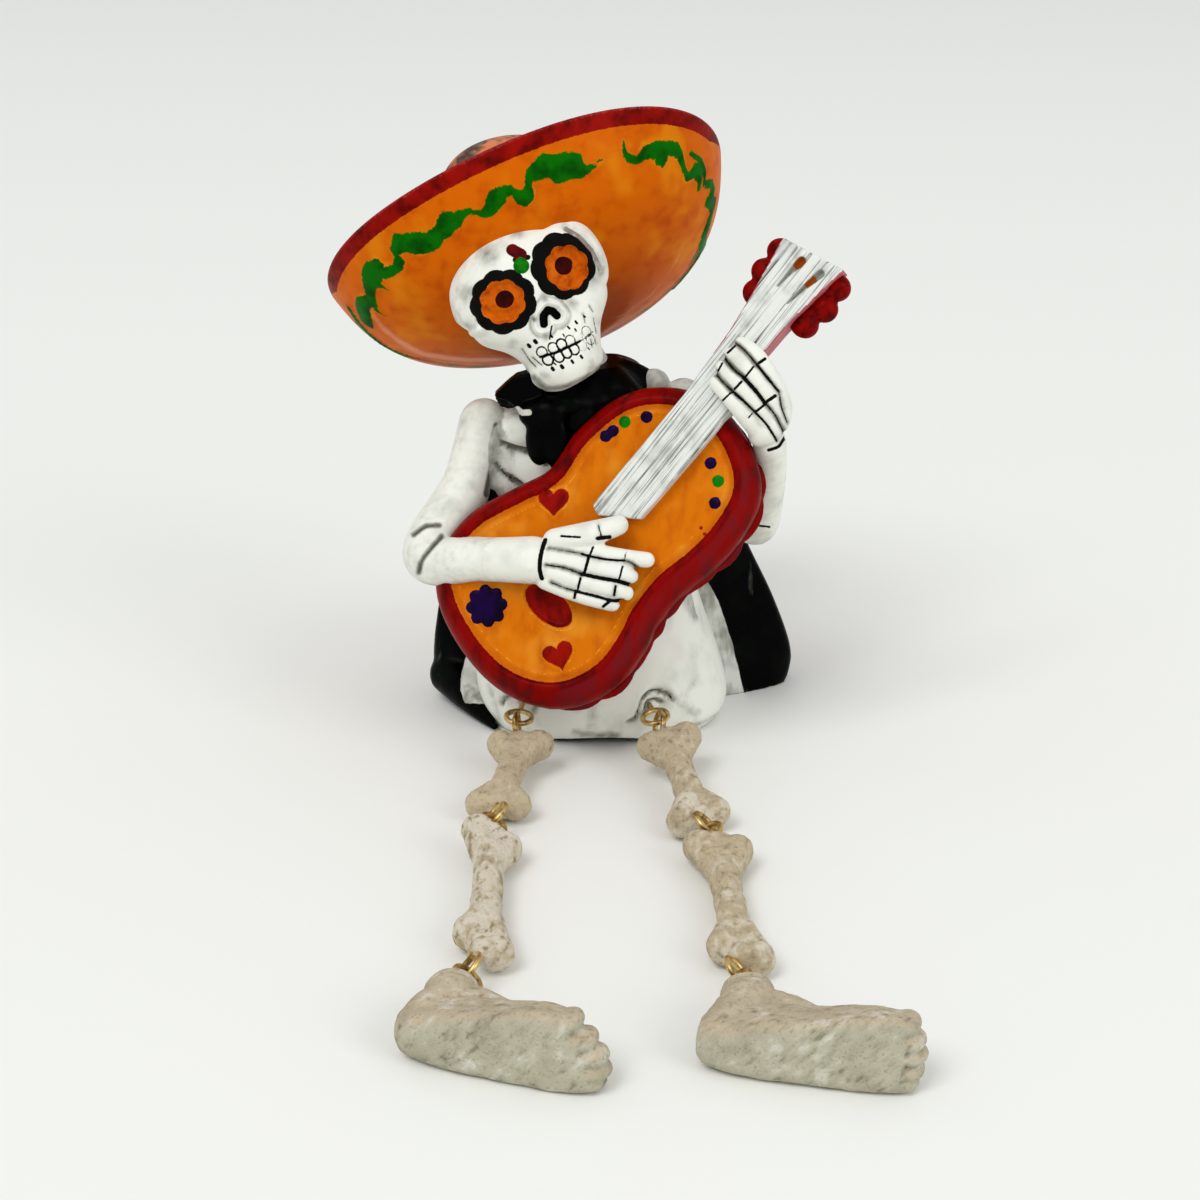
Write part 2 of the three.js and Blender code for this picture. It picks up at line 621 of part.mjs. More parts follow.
function foot(settings) {
  const at = blend(FOOT_SECTIONS, ['x', 'bottom', 'top', 'front', 'back']);
  const drawBack = (z) => settings.slant * Math.max(z, 0);
  const ring = (t, angle) => {
    const s = at(t);
    const tall = roundish(Math.sin(angle), 0.5);
    const deep = roundish(Math.cos(angle), 0.5);
    const y = (s.front + s.back) / 2 + (deep * (s.back - s.front)) / 2;
    const z = (s.bottom + s.top) / 2 + (tall * (s.top - s.bottom)) / 2;
    return new THREE.Vector3(s.x - drawBack(z) * t, y, z);
  };
  const middle = (t) => new THREE.Vector3(at(t).x, 0.5, 0);
  const toe = [TOE_RADIUS * 1.6, 2.8, TOE_RADIUS];
  const parts = [
    loft(ring, middle, 10, 4),
    ...TOES.map(([x, z]) => blob([x - drawBack(z), -0.4, z], toe, 5, 4)),
  ];
  const placed = parts.map((part) => part.rotateZ(settings.turn).translate(...settings.heel));
  return joinAll([...placed, blob(settings.ankle, ANKLE_RADII, 9, 5)]);
}

const resinWhite = new THREE.MeshStandardMaterial({ color: 0xd8dcd4, roughness: 0.5 });
const resinBare = new THREE.MeshStandardMaterial({ color: 0xb2a898, roughness: 0.85 });
const brass = new THREE.MeshStandardMaterial({ color: 0xc09a50, roughness: 0.35, metalness: 1 });

const part = new THREE.Group();

// Everything that is cast as one: body, cape, head, hat, arms and guitar.
let figure = joinAll([
  ...torso(),
  ...cape(),
  ...kerchief(),
]);
figure = cutAll(figure, ribGrooves());
const head = cutAll(joinAll(skull()), skullCuts());
figure = [...hat(), ...pupils(), ...guitar(), ...arms()]
  .map(toSolid)
  .reduce((whole, next) => whole.add(next), figure.add(head));

for (const side of ['left', 'right']) {
  const leg = LEGS[side];
  const thighWay = direction(leg.hip, leg.knee);
  const shinWay = direction(leg.knee, leg.ankle);
  const footWay = new THREE.Vector3(0, -1, 0);
  const hip = linkAt(leg.hip, thighWay, 0);
  const knee = linkAt(leg.knee, shinWay.clone().add(thighWay).normalize(), leg.lie);
  const ankle = linkAt(leg.ankle, shinWay.clone().add(footWay).normalize(), leg.lie);

  const { x, z } = hip.before.centre;
  const recess = blob([x, -HIP_RECESS.back, z + HIP_RECESS.up], HIP_RECESS.radii, 8, 4);
  figure = cutAll(figure, [recess, shankHole(hip.before)]);

  const clear = (solid, ends) => cutAll(
    solid,
    ends.flatMap((end) => [shankHole(end), ringRoom(end)]),
  );
  const castings = [
    [`${side}_thigh_bone`, bone(BONES[`${side}_thigh_bone`]), [hip.after, knee.before]],
    [`${side}_shin_bone`, bone(BONES[`${side}_shin_bone`]), [knee.after, ankle.before]],
    [`${side}_foot`, foot(FEET[side]), [ankle.after]],
  ];
  for (const [name, solid, ends] of castings) {
    part.add(named(name, clear(solid, ends), resinBare.clone()));
  }

  const eyes = [
    ['hip_eye', hip.before],
    ['thigh_top_eye', hip.after],
    ['thigh_bottom_eye', knee.before],
    ['shin_top_eye', knee.after],
    ['shin_bottom_eye', ankle.before],
    ['foot_eye', ankle.after],
  ];
  for (const [name, end] of eyes) {
    part.add(named(`${side}_${name}`, screwEye(end), brass.clone()));
  }
}

part.add(named('seated_figure', figure, resinWhite));

export default part;
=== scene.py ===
import bpy
import math
import numpy as np
from mathutils import Matrix, Vector


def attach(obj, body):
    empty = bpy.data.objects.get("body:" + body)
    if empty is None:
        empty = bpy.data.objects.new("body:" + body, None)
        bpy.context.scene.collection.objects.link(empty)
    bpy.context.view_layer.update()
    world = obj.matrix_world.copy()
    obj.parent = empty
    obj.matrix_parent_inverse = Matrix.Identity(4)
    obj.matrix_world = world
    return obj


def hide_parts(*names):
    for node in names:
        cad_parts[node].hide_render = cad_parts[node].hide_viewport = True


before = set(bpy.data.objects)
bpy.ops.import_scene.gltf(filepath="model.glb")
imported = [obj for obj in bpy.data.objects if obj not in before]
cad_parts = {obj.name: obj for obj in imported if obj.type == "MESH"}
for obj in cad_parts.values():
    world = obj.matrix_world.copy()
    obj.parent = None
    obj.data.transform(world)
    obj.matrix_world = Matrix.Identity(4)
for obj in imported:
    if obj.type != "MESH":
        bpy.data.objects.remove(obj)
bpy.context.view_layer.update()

# Floor, light and camera.
# The figure sits on a pale table under soft light from the upper left, seen from a
# little above. Pieces are shaped in millimetres and then settled into metres.
MM = 0.001
CAMERA_PLACE = (0.0, -432.0 * MM, 185.0 * MM)
CAMERA_DOWN = math.radians(20.6)
CAMERA_LENS, CAMERA_FILM = 68.85, 36.0
TABLE_SIZE = 8.0
TABLE_COLOUR, TABLE_ROUGHNESS = (0.90, 0.905, 0.88, 1), 0.6
ROOM_COLOUR = (0.97, 0.99, 0.975, 1)
ROOM_LIGHT = 0.66
LAMPS = {
    # place, size and power
    "key": ((-1.5, -2.0, 3.2), 1.8, 58.0),
    "side": ((2.2, -1.8, 1.6), 1.6, 22.0),
}
LOOKED_AT = Vector((0, -0.03, 0.05))

bpy.ops.object.camera_add(location=CAMERA_PLACE, rotation=(math.pi / 2 - CAMERA_DOWN, 0, 0))
camera = bpy.context.object
camera.data.lens = CAMERA_LENS
camera.data.sensor_width = CAMERA_FILM
bpy.context.scene.camera = camera

for lamp_name, (lamp_place, lamp_size, lamp_power) in LAMPS.items():
    bpy.ops.object.light_add(type="AREA", location=lamp_place)
    lamp = bpy.context.object
    lamp.name = lamp_name
    lamp.data.size = lamp_size
    lamp.data.energy = lamp_power
    lamp.rotation_euler = (LOOKED_AT - lamp.location).to_track_quat("-Z", "Y").to_euler()

room = bpy.data.worlds.new("room")
room.use_nodes = True
sky = room.node_tree.nodes["Background"].inputs
sky["Color"].default_value = ROOM_COLOUR
sky["Strength"].default_value = ROOM_LIGHT
bpy.context.scene.world = room
bpy.context.scene.view_settings.view_transform = "Standard"

bpy.ops.mesh.primitive_plane_add(size=TABLE_SIZE)
table = bpy.context.object
table.name = "table_top"
table_paint = bpy.data.materials.new("table_paint")
table_paint.use_nodes = True
table_shader = table_paint.node_tree.nodes["Principled BSDF"].inputs
table_shader["Base Color"].default_value = TABLE_COLOUR
table_shader["Roughness"].default_value = TABLE_ROUGHNESS
table.data.materials.append(table_paint)

# Torso.
# The seat, belly, ribs and neck of the cast figure: white paint over resin, with an
# olive wash wiped into every hollow. Painted shade darkens the armpit, and painted
# black shadow fills its deep bottom and the gap under the front of the seat. The hips
# have a notch round each screw eye.
TORSO = [
    # height, half width, reach to the front, reach to the back, middle
    (0, 23.4, 20.8, 19.2, 0.4),
    (4, 25.2, 22.6, 20.5, 0.5),
    (12, 24.4, 22.8, 20.5, -0.5),
    (22, 21.6, 21.0, 19.0, -1.1),
    (32, 18.6, 17.0, 16.5, -0.8),
    (44, 16.8, 14.5, 14.0, -1.8),
    (55, 18.0, 13.5, 13.0, -2.6),
    (63, 15.5, 10.5, 11.5, -3.0),
    (69, 8.5, 8.0, 8.0, -4.5),
    (80, 6.5, 9.0, 4.0, -9.0),
]
TORSO_SQUARENESS = 0.88
SHOULDER_LUMPS = [((10.4, -3.6, 68.6), (3.1, 2.6, 2.9)), ((16.2, -1.6, 64.8), (4.4, 4.0, 4.2))]
TORSO_LUMPS = [
    # place and size of the lap, the armpit, the chest's corner and the far shoulder
    ((-1.5, -15.0, 37.0), (12.5, 8.5, 19.0)),
    ((-19.0, -5.0, 50.0), (4.5, 5.5, 11.0)),
    ((-14.5, -9.5, 61.0), (5.6, 3.4, 3.6)),
    *SHOULDER_LUMPS,
]
TORSO_GRAIN = 0.62
RIB_GROOVES = [
    [(-18.6, 58.4), (-14.5, 57.2), (-10.5, 55.1)],
    [(-20.2, 54.0), (-16.1, 50.5), (-11.5, 48.0)],
    [(-19.6, 46.6), (-14.0, 42.4), (-8.0, 41.4)],
]
RIB_GROOVE_WIDTH, RIB_GROOVE_DEPTH = 0.75, 1.1
HIP_EYES = [(-15.8, 8.0), (11.0, 8.0)]
NOTCH_RADIUS, NOTCH_DEPTH, NOTCH_RISE = 3.3, 1.2, 1.8
NOTCH_LINES = [
    [(5.6, 5.9), (6.9, 6.5), (7.6, 8.4), (8.6, 10.5), (10.8, 11.5), (13.4, 10.6), (14.4, 9.0)],
    [(8.6, 7.6), (9.4, 9.0), (10.9, 9.6), (12.4, 9.0)],
    [(-19.4, 6.6), (-18.8, 8.2), (-17.6, 9.6)],
    [(-12.9, 7.4), (-12.6, 9.0), (-13.2, 10.4)],
]
# A soft painted shade along the recess where the arm meets the ribs.
ARMPIT_SHADE_LINE = [
    (-20.1, -4.7, 60.5), (-20.4, -7.9, 57.5), (-20.8, -9.1, 53.8), (-21.4, -9.2, 50.8),
    (-22.2, -6.8, 47.0),
]
SMUDGES = [
    # a line across the seat's front, its width and its strength
    ([(-5.0, 3.3), (-1.0, 2.9), (3.4, 2.8)], 1.5, 0.6), ([(-1.3, 8.6), (-1.7, 5.4)], 2.2, 0.45),
    ([(17.0, 27.0), (19.4, 23.0)], 2.2, 0.6), ([(14.0, 8.0), (18.0, 11.0)], 2.2, 0.35),
    ([(-9.6, 9.0), (-4.0, 8.2)], 1.0, 0.4), ([(15.0, 9.0), (19.0, 5.0)], 1.8, 0.5),
    ([(17.0, 2.6), (23.0, 2.0)], 1.4, 0.5), ([(-22.0, 9.0), (-20.0, 3.0)], 1.6, 0.45),
    ([(-13.0, 7.0), (-11.6, 9.6)], 0.9, 0.7), ([(-19.6, 7.0), (-17.0, 10.4)], 0.9, 0.6),
    ([(7.0, 7.0), (8.4, 10.8)], 0.9, 0.5),
]
# Where painted shade and a painted black shadow fill the deep armpit.
ARMPIT_SHADOW = [(-21.0, 48.0), (-18.6, 43.0)]
HEM_ARCH_MIDDLE, HEM_ARCH_HALF, HEM_ARCH_RISE = 1.0, 10.0, 1.3
BONE_WHITE = (236, 237, 228)
BONE_SHADE = (196, 198, 190)
WASH_AND_SHADE_OLIVE = (74, 72, 56)
INK_AND_SHADOW_BLACK = (9, 9, 7)
BLUSH = (214, 190, 186)


def through(stops, t):
    """The smooth value at t, from 0 to 1, of a list of stops that it passes through."""
    place = t * (len(stops) - 1)
    first = min(int(place), len(stops) - 2)
    f = place - first
    last = len(stops) - 1
    before, a, b, after = (
        np.array(stops[min(max(first + k, 0), last)], float) for k in (-1, 0, 1, 2)
    )
    leave, reach = (b - before) / 2, (after - a) / 2
    bend = (2 * a - 2 * b + leave + reach) * f + (3 * b - 3 * a - 2 * leave - reach)
    return (bend * f + leave) * f + a


def smooth(line, steps=24):
    """More places along the smooth line through a few."""
    return [through(line, k / steps) for k in range(steps + 1)]


def squared(value, power):
    """A sine or cosine that a power below 1 draws out towards a square."""
    return math.copysign(abs(value) ** power, value)


def clamp(value, low=0, high=1):
    return min(max(value, low), high)


def ringed(name, skin, axis, around=96, along=48, caps=4):
    """A ball reshaped ring by ring: skin(t, angle) round axis(t), flat at both ends."""
    bpy.ops.mesh.primitive_uv_sphere_add(segments=around, ring_count=along, radius=1)
    body = bpy.context.object
    body.name = name
    for vertex in body.data.vertices:
        ring = round((1 - math.acos(clamp(vertex.co.z, -1)) / math.pi) * along)
        t = clamp((ring - caps) / (along - 2 * caps))
        spread = min(ring, along - ring, caps) / caps
        angle = math.atan2(vertex.co.y, vertex.co.x)
        vertex.co = Vector(axis(t)).lerp(Vector(skin(t, angle)), spread)
    return body


def sectioned(name, sections, power, around, along, caps):
    """A body from half width, front, back and middle at each height."""
    def skin(t, angle):
        z, half, front, back, middle = through(sections, t)
        across = squared(math.cos(angle), power)
        deep = squared(math.sin(angle), power)
        return middle + half * across, deep * (back if deep > 0 else front), z

    def axis(t):
        z, half, front, back, middle = through(sections, t)
        return middle, (back - front) / 2, z

    return ringed(name, skin, axis, around, along, caps)


def ball(place, size, around=32, rings=20):
    bpy.ops.mesh.primitive_uv_sphere_add(segments=around, ring_count=rings, radius=1)
    body = bpy.context.object
    for vertex in body.data.vertices:
        vertex.co = Vector(a * b + c for a, b, c in zip(vertex.co, size, place))
    return body


def limb(joints, around=20, steps=30):
    """A rod with round ends along a smooth line: joints are (x, y, z, radius)."""
    line = smooth(joints, steps)
    ends = 5

    def skin(t, angle):
        k = t * (steps + 2 * ends) - ends
        at = line[round(clamp(k, 0, steps))]
        near = round(clamp(k, 0, steps - 1))
        way = Vector(line[near + 1][:3] - line[near][:3]).normalized()
        over = min(k, 0) + max(k - steps, 0)
        turn = over / ends * math.pi / 2
        side = Vector((0.3, 0.2, 1)).cross(way).normalized()
        other = way.cross(side)
        out = side * math.cos(angle) + other * math.sin(angle)
        return Vector(at[:3]) + (out * math.cos(turn) + way * math.sin(turn)) * at[3]

    def axis(t):
        return skin(t, 0) * 0.5 + skin(t, math.pi) * 0.5

    return ringed("limb", skin, axis, around, steps + 2 * ends, 1)


def choose(*bodies):
    bpy.ops.object.select_all(action="DESELECT")
    for body in bodies:
        body.select_set(True)
    bpy.context.view_layer.objects.active = bodies[0]


def fuse(name, parts, grain, rounds=4):
    """Makes overlapping bodies one skin, as in a mould, and softens where they meet."""
    choose(*parts)
    bpy.ops.object.join()
    body = bpy.context.object
    body.name = name
    remesh = body.modifiers.new("skin", "REMESH")
    remesh.mode = "VOXEL"
    remesh.voxel_size = grain
    soften = body.modifiers.new("soften", "SMOOTH")
    soften.iterations = rounds
    for modifier in ("skin", "soften"):
        bpy.ops.object.modifier_apply(modifier=modifier)
    return body


def surface(body):
    """The place of each point of a skin, and the way it faces."""
    found = []
    for key in ("co", "normal"):
        flat = np.empty(len(body.data.vertices) * 3, np.float32)
        body.data.vertices.foreach_get(key, flat)
        found.append(flat.reshape(-1, 3).astype(float))
    return found


def shift(body, points):
    body.data.vertices.foreach_set("co", points.astype(np.float32).ravel())
    body.data.update()


def distance(spots, *lines):
    """How far each spot is from the nearest line, or point, in two or three dimensions."""
    nearest = np.full(len(spots), 1e9)
    for line in lines:
        for a, b in zip(line, line[1:] if len(line) > 1 else line):
            a, b = np.array(a, float), np.array(b, float)
            way = b - a
            along = np.clip(((spots - a) @ way) / max(way @ way, 1e-9), 0, 1)
            gap = np.linalg.norm(spots - a - along[:, None] * way, axis=1)
            nearest = np.minimum(nearest, gap)
    return nearest


def soft(gap, width):
    """1 on a line and 0 from a width away, with a round slope between."""
    return np.exp(-((gap / width) ** 2) * 1.6)


def smudged(spots, marks):
    """How strongly some soft smudges, each a line, a width and a strength, cover spots."""
    return np.max([strength * soft(distance(spots, line), size) for line, size, strength in marks], 0)


def drawn(spots, lines, reach=2.5):
    """How far each place on a skin is from lines drawn on it, as seen from the front."""
    nearest = np.full(len(spots), 99.0)
    eye = np.array(CAMERA_PLACE) / MM
    for line in lines:
        line = np.array(line, float)
        way = line.mean(0) - eye
        way /= np.linalg.norm(way)
        flat = spots - np.outer(spots @ way, way)
        gap = distance(flat, line - np.outer(line @ way, way))
        gap = np.where(distance(spots, line) < reach, gap, 99.0)
        nearest = np.minimum(nearest, gap)
    return nearest


def hollows(body, reach=14, depth=0.45):
    """How deep each place lies below the skin around it, from 0 to 1, for the wash and painted shade.
    """
    edges = np.empty(len(body.data.edges) * 2, np.int32)
    body.data.edges.foreach_get("vertices", edges)
    a, b = edges.reshape(-1, 2).T
    here, out = surface(body)
    count = len(here)
    ties = np.bincount(a, minlength=count) + np.bincount(b, minlength=count)
    level = here.copy()
    for _ in range(reach):
        total = np.stack([
            np.bincount(a, level[b, k], count) + np.bincount(b, level[a, k], count)
            for k in range(3)
        ], 1)
        level = total / np.maximum(ties, 1)[:, None]
    below = ((level - here) * out).sum(1)
    return np.clip(below / depth, 0, 1)


def note(body, name, values):
    """Keeps a value for each place on a skin, which its paint reads."""
    layer = body.data.attributes.new(name, "FLOAT", "POINT")
    layer.data.foreach_set("value", np.asarray(values, np.float32))


class Value:
    """A socket that can stand in a sum, so that a finish is written as an expression."""

    def __init__(self, finish, socket):
        self.finish = finish
        self.socket = socket

    def sum(self, operation, *others):
        return self.finish.add("Math", {"operation": operation}, dict(enumerate(others)))

    def __add__(self, other):
        return self.sum("ADD", self, other)

    def __sub__(self, other):
        return self.sum("SUBTRACT", self, other)

    def __rsub__(self, other):
        return self.sum("SUBTRACT", other, self)

    def __mul__(self, other):
        return self.sum("MULTIPLY", self, other)

    __radd__ = __add__

    def above(self, low, high):
        """0 below low and 1 above high, with a smooth rise between."""
        return self.finish.add(
            "MapRange", {"interpolation_type": "SMOOTHSTEP"},
            {"Value": self, "From Min": low, "From Max": high},
        )


class Finish:
    """One material: its nodes are added one by one and its numbers are expressions."""

    def __init__(self, name, roughness, specular=0.035):
        self.material = bpy.data.materials.new(name)
        self.material.use_nodes = True
        self.nodes = self.material.node_tree.nodes
        self.links = self.material.node_tree.links
        self.shader = self.nodes["Principled BSDF"]
        self.shader.inputs["Specular IOR Level"].default_value = specular
        self.shader.inputs["Roughness"].default_value = roughness

    def feed(self, socket, value):
        if isinstance(value, Value):
            self.links.new(value.socket, socket)
        else:
            socket.default_value = value

    def add(self, kind, settings, inputs, out=0):
        node = self.nodes.new("ShaderNode" + kind)
        for key, value in settings.items():
            setattr(node, key, value)
        for key, value in inputs.items():
            self.feed(node.inputs[key], value)
        return Value(self, node.outputs[out])

    def paint(self, **sockets):
        for key, value in sockets.items():
            self.feed(self.shader.inputs[key.replace("_", " ")], value)

    def noted(self, name):
        return self.add("Attribute", {"attribute_name": name}, {}, "Fac")

    def cloud(self, size, detail=3.0, stretch=(1, 1, 1), turn=(0, 0, 0)):
        """Noise from 0 to 1 with blots of about a size in millimetres."""
        spot = self.add("TexCoord", {}, {}, "Object")
        scale = tuple(size * MM * k for k in stretch)
        setting = {"vector_type": "TEXTURE"}
        spot = self.add(
            "Mapping", setting, {"Vector": spot, "Rotation": turn, "Scale": scale},
        )
        return self.add("TexNoise", {}, {"Vector": spot, "Scale": 1.0, "Detail": detail})

    def over(self, ground, *coats):
        """Coats over a ground, each a colour or shade and the mask where it lies."""
        for coat, mask in coats:
            below, above = (colour(k) if isinstance(k, tuple) else k for k in (ground, coat))
            ground = self.add("Mix", {"data_type": "RGBA"}, {0: mask, 6: below, 7: above}, 2)
        return ground

    def bumps(self, height, depth):
        """A bump in millimetres from a height from 0 to 1."""
        return self.add("Bump", {}, {"Distance": depth * MM, "Height": height})


def colour(rgb):
    """A paint colour, given as it looks on a screen, as the shader wants it."""
    parts = [k / 255 for k in rgb]
    linear = [k / 12.92 if k <= 0.04045 else ((k + 0.055) / 1.055) ** 2.4 for k in parts]
    return (*linear, 1)


def white_paint(name, coats=()):
    """Bone white paint with an olive wash in its hollows, painted shade where a piece notes it, black
    lines and painted black shadow, and coats of colour over it.
    """
    finish = Finish(name, 0.5)
    blots = finish.cloud(6.0)
    smears = finish.cloud(1.6, 4.0)
    fine = finish.cloud(0.45, 2.0)
    tint = finish.cloud(9.0, 1.0)
    stain_and_shade = finish.noted("wash") * 0.95 + (smears - 0.5) * 0.5 + (blots - 0.5) * 0.3
    ground = finish.over(
        BONE_WHITE,
        (BONE_SHADE, blots.above(0.46, 0.8) * 0.55),
        (BLUSH, tint.above(0.62, 0.9) * 0.4),
        # olive wash and painted shade, then black lines and painted black shadow
        (WASH_AND_SHADE_OLIVE, stain_and_shade.above(0.12, 0.95) * 0.9),
        (INK_AND_SHADOW_BLACK, (finish.noted("ink") + (fine - 0.5) * 0.2).above(-0.06, 0.06)),
    )
    for coat, shade, dark in coats:
        edge = (finish.noted(coat) + (fine - 0.5) * 0.22).above(-0.06, 0.06)
        ground = finish.over(ground, (finish.over(shade, (dark, smears.above(0.4, 0.75))), edge))
    finish.paint(
        Base_Color=ground,
        Roughness=0.4 + blots * 0.2,
        Normal=finish.bumps(smears * 0.6 + fine * 0.4, 0.06),
    )
    return finish.material


def settle(piece, paint, node="seated_figure"):
    """Finishes a piece: into metres, smooth, painted, and set in its node's place."""
    piece.data.transform(Matrix.Scale(MM, 4))
    choose(piece)
    bpy.ops.object.shade_smooth()
    piece.data.materials.append(paint)
    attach(piece, "root")
    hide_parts(node)


torso = fuse("torso", [
    sectioned("torso", TORSO, TORSO_SQUARENESS, 120, 90, 8),
    *[ball(place, size) for place, size in TORSO_LUMPS],
], TORSO_GRAIN)
spots, out = surface(torso)
front = out[:, 1] < 0.1
seat_front = out[:, 1] < -0.3
middle = TORSO[6][4]
ribs = [
    [(middle + side * (x - middle), z) for x, z in line]
    for line in RIB_GROOVES for side in (-1, 1)
]
rib_gap = distance(spots[:, ::2], *ribs)
rib = soft(rib_gap, RIB_GROOVE_WIDTH) * front
spots = spots - out * (rib * RIB_GROOVE_DEPTH)[:, None]
eye_gap = distance(spots[:, ::2], *[[(x, z + NOTCH_RISE)] for x, z in HIP_EYES])
notch = np.clip((NOTCH_RADIUS - eye_gap) / 1.4, 0, 1)
notch_gap = distance(spots[:, ::2], *[smooth(line) for line in NOTCH_LINES])
dent = notch * NOTCH_DEPTH + soft(notch_gap, 0.6) * 0.5 - soft(notch_gap - 1.0, 0.5) * 0.3
spots = spots - out * (dent * seat_front)[:, None]
arch = HEM_ARCH_RISE * np.exp(-(((spots[:, 0] - HEM_ARCH_MIDDLE) / HEM_ARCH_HALF) ** 2))
spots[:, 2] += arch * np.clip(1 - spots[:, 2] / 3, 0, 1) * (spots[:, 1] < -14)
shift(torso, spots)
x, y, z = spots.T
armpit_shadow_gap = distance(spots[:, ::2], ARMPIT_SHADOW)
lump_gap = np.min([np.linalg.norm((spots - p) / r, axis=1) for p, r in SHOULDER_LUMPS], 0)
# Wash in hollows, grooves, smudges and the hip notches, painted shade along the armpit, and darker at
# the shoulder lumps, towards the bottom and towards the neck.
note(torso, "wash", np.clip(np.max([
    hollows(torso) * 0.9 + rib * 0.6,
    smudged(spots[:, ::2], SMUDGES) * seat_front,
    soft(notch_gap, 0.8) * 0.8 * seat_front,
    # painted shade along the armpit and in its deep bottom
    soft(drawn(spots, [smooth(ARMPIT_SHADE_LINE)], 6), 3.4) * 0.8,
    soft(armpit_shadow_gap, 4.0) * front,
    (lump_gap < 1.1) * 0.55,
    np.clip(1 - z / 3, 0, 1) * 0.4,
    np.clip((z - 57) / 8, 0, 1) * 0.4,
], 0), 0, 1))
# Painted black shadow in the gap under the arch at the seat's front.
hem_gap_shadow = HEM_ARCH_RISE * 0.5 - z + arch
# Black lines on the ribs and hip notches, and painted black shadow in the armpit and under the arch.
note(torso, "ink", np.max([
    np.where(front, 0.12 - rib_gap, -3),
    np.where(seat_front, 0.1 - notch_gap, -3),
    np.where(front, 1.2 - armpit_shadow_gap, -3),
    np.where((y < -12) & (np.abs(x - HEM_ARCH_MIDDLE) < HEM_ARCH_HALF), hem_gap_shadow, -3),
], 0))
white = white_paint("white_paint")
settle(torso, white)

# Cape.
# A short black cape, cast with the back of the figure, that hangs from the shoulders
# in soft folds and spreads to the table behind the seat. Black enamel, half gloss,
# with a painted green sheen and painted grey-green highlight streaks down its sides.
CAPE = [
    # height, left, right, back at left, back at right, front at left, at right, bulge
    (0, -32.0, 39.0, 7, 13, 19, 8, 15),
    (7, -34.2, 39.8, 6.5, 12.5, 13, 6, 16),
    (19, -33.0, 35.8, 5, 10.5, 4, 3.5, 15.5),
    (33, -30.0, 29.5, 3.5, 8, 3, 3, 13.5),
    (50, -25.4, 23.2, 2, 5, 3, 3, 12),
    (67, -15.5, 9.0, 0, 1, 3, 3, 9),
]
CAPE_FOLDS, CAPE_FOLD_DEPTH = 9, 1.0
CAPE_GRAIN = 0.7
LINING_EDGE = [(0.0, 29.8), (9.9, 27.4), (20.0, 24.2), (26.0, 20.9), (32.0, 18.4)]  # height, across
LEFT_LINING = [(0.6, -25.0), (3.3, -27.0), (5.4, -28.1), (7.8, -28.0), (12.0, -26.6)]
WING = [
    (-30.4, 3.0, 5.4, 4.6), (-26.6, -4.0, 3.6, 3.3), (-23.4, -9.6, 2.0, 1.9), (-20.8, -14.0, 0.9, 0.8),
]
# Painted grey-green highlight streaks down the cape's sides: across and height.
SHEEN_STREAKS = [[(-32.4, 21.0), (-32.8, 6.0)], [(29.8, 31.0), (31.2, 21.0)]]
ENAMEL_BLACK, ENAMEL_GREEN_SHEEN, ENAMEL_DUST_AND_SHEEN = (1, 1, 1), (7, 12, 8), (92, 97, 82)
LINING_WHITE, LINING_GREY = (216, 216, 210), (150, 150, 140)


def black_enamel(name, coats=()):
    """Half gloss black with a faint painted green sheen, dull rubbed edges and painted grey-green
    highlights.
    """
    finish = Finish(name, 0.3, 0.03)
    sheen = finish.cloud(6.0)
    brush = finish.cloud(1.2, 3.0, (1, 1, 5))
    rubbed_and_sheen = (finish.noted("worn") + (brush - 0.5) * 0.9).above(0.62, 0.95)
    # Painted green sheen in soft blots, then grey on rubbed edges and on painted highlight streaks.
    ground = finish.over(
        ENAMEL_BLACK, (ENAMEL_GREEN_SHEEN, sheen.above(0.45, 0.8)), (ENAMEL_DUST_AND_SHEEN, rubbed_and_sheen * 0.6),
    )
    for coat, shade, dark in coats:
        edge = (finish.noted(coat) + (brush - 0.5) * 0.6).above(-0.1, 0.1)
        shade = finish.over(shade, (dark, (sheen + brush * 0.5).above(0.6, 0.95)))
        ground = finish.over(ground, (shade, edge))
    finish.paint(
        Base_Color=ground,
        Roughness=0.2 + sheen * 0.22 + rubbed_and_sheen * 0.2,
        Normal=finish.bumps(brush * 0.5 + sheen * 0.5, 0.12),
    )
    return finish.material


def cape_skin(t, angle):
    z, left, right, left_back, right_back, left_front, right_front, bulge = through(CAPE, t)
    side = (1 + math.cos(angle)) / 2
    edge = left_back + (right_back - left_back) * side
    reach = left_front + (right_front - left_front) * side
    deep = squared(math.sin(angle), 0.8)
    fold = CAPE_FOLD_DEPTH * math.cos(CAPE_FOLDS * angle) * (1 - t)
    y = edge + (deep * (bulge + fold) if deep > 0 else deep * reach)
    return left + (right - left) * side, y, z


def cape_axis(t):
    stops = through(CAPE, t)
    return (stops[1] + stops[2]) / 2, 8, stops[0]


cape = fuse("cape", [
    ringed("cape", cape_skin, cape_axis, 180, 70, 6), limb(WING, 24, 30),
], CAPE_GRAIN)
spots, out = surface(cape)
x, y, z = spots.T
left_edge, right_edge = (np.interp(z, *zip(*line)) for line in (LEFT_LINING, LINING_EDGE))
left_bare = np.minimum(x - left_edge, z - 1.4 + (y + 2) * 0.35)
left_bare = np.where((z < 14) & (out[:, 1] < 0.4), left_bare, -2.0)
right_bare = np.where(out[:, 1] < 0.3, right_edge - x, -2.0)
note(cape, "bare", np.where(x < 0, left_bare, right_bare))
rise = np.clip(1 - hollows(cape, 10, 0.3), 0, 1)
sheen_streak = soft(distance(spots[:, ::2], *SHEEN_STREAKS), 1.5)
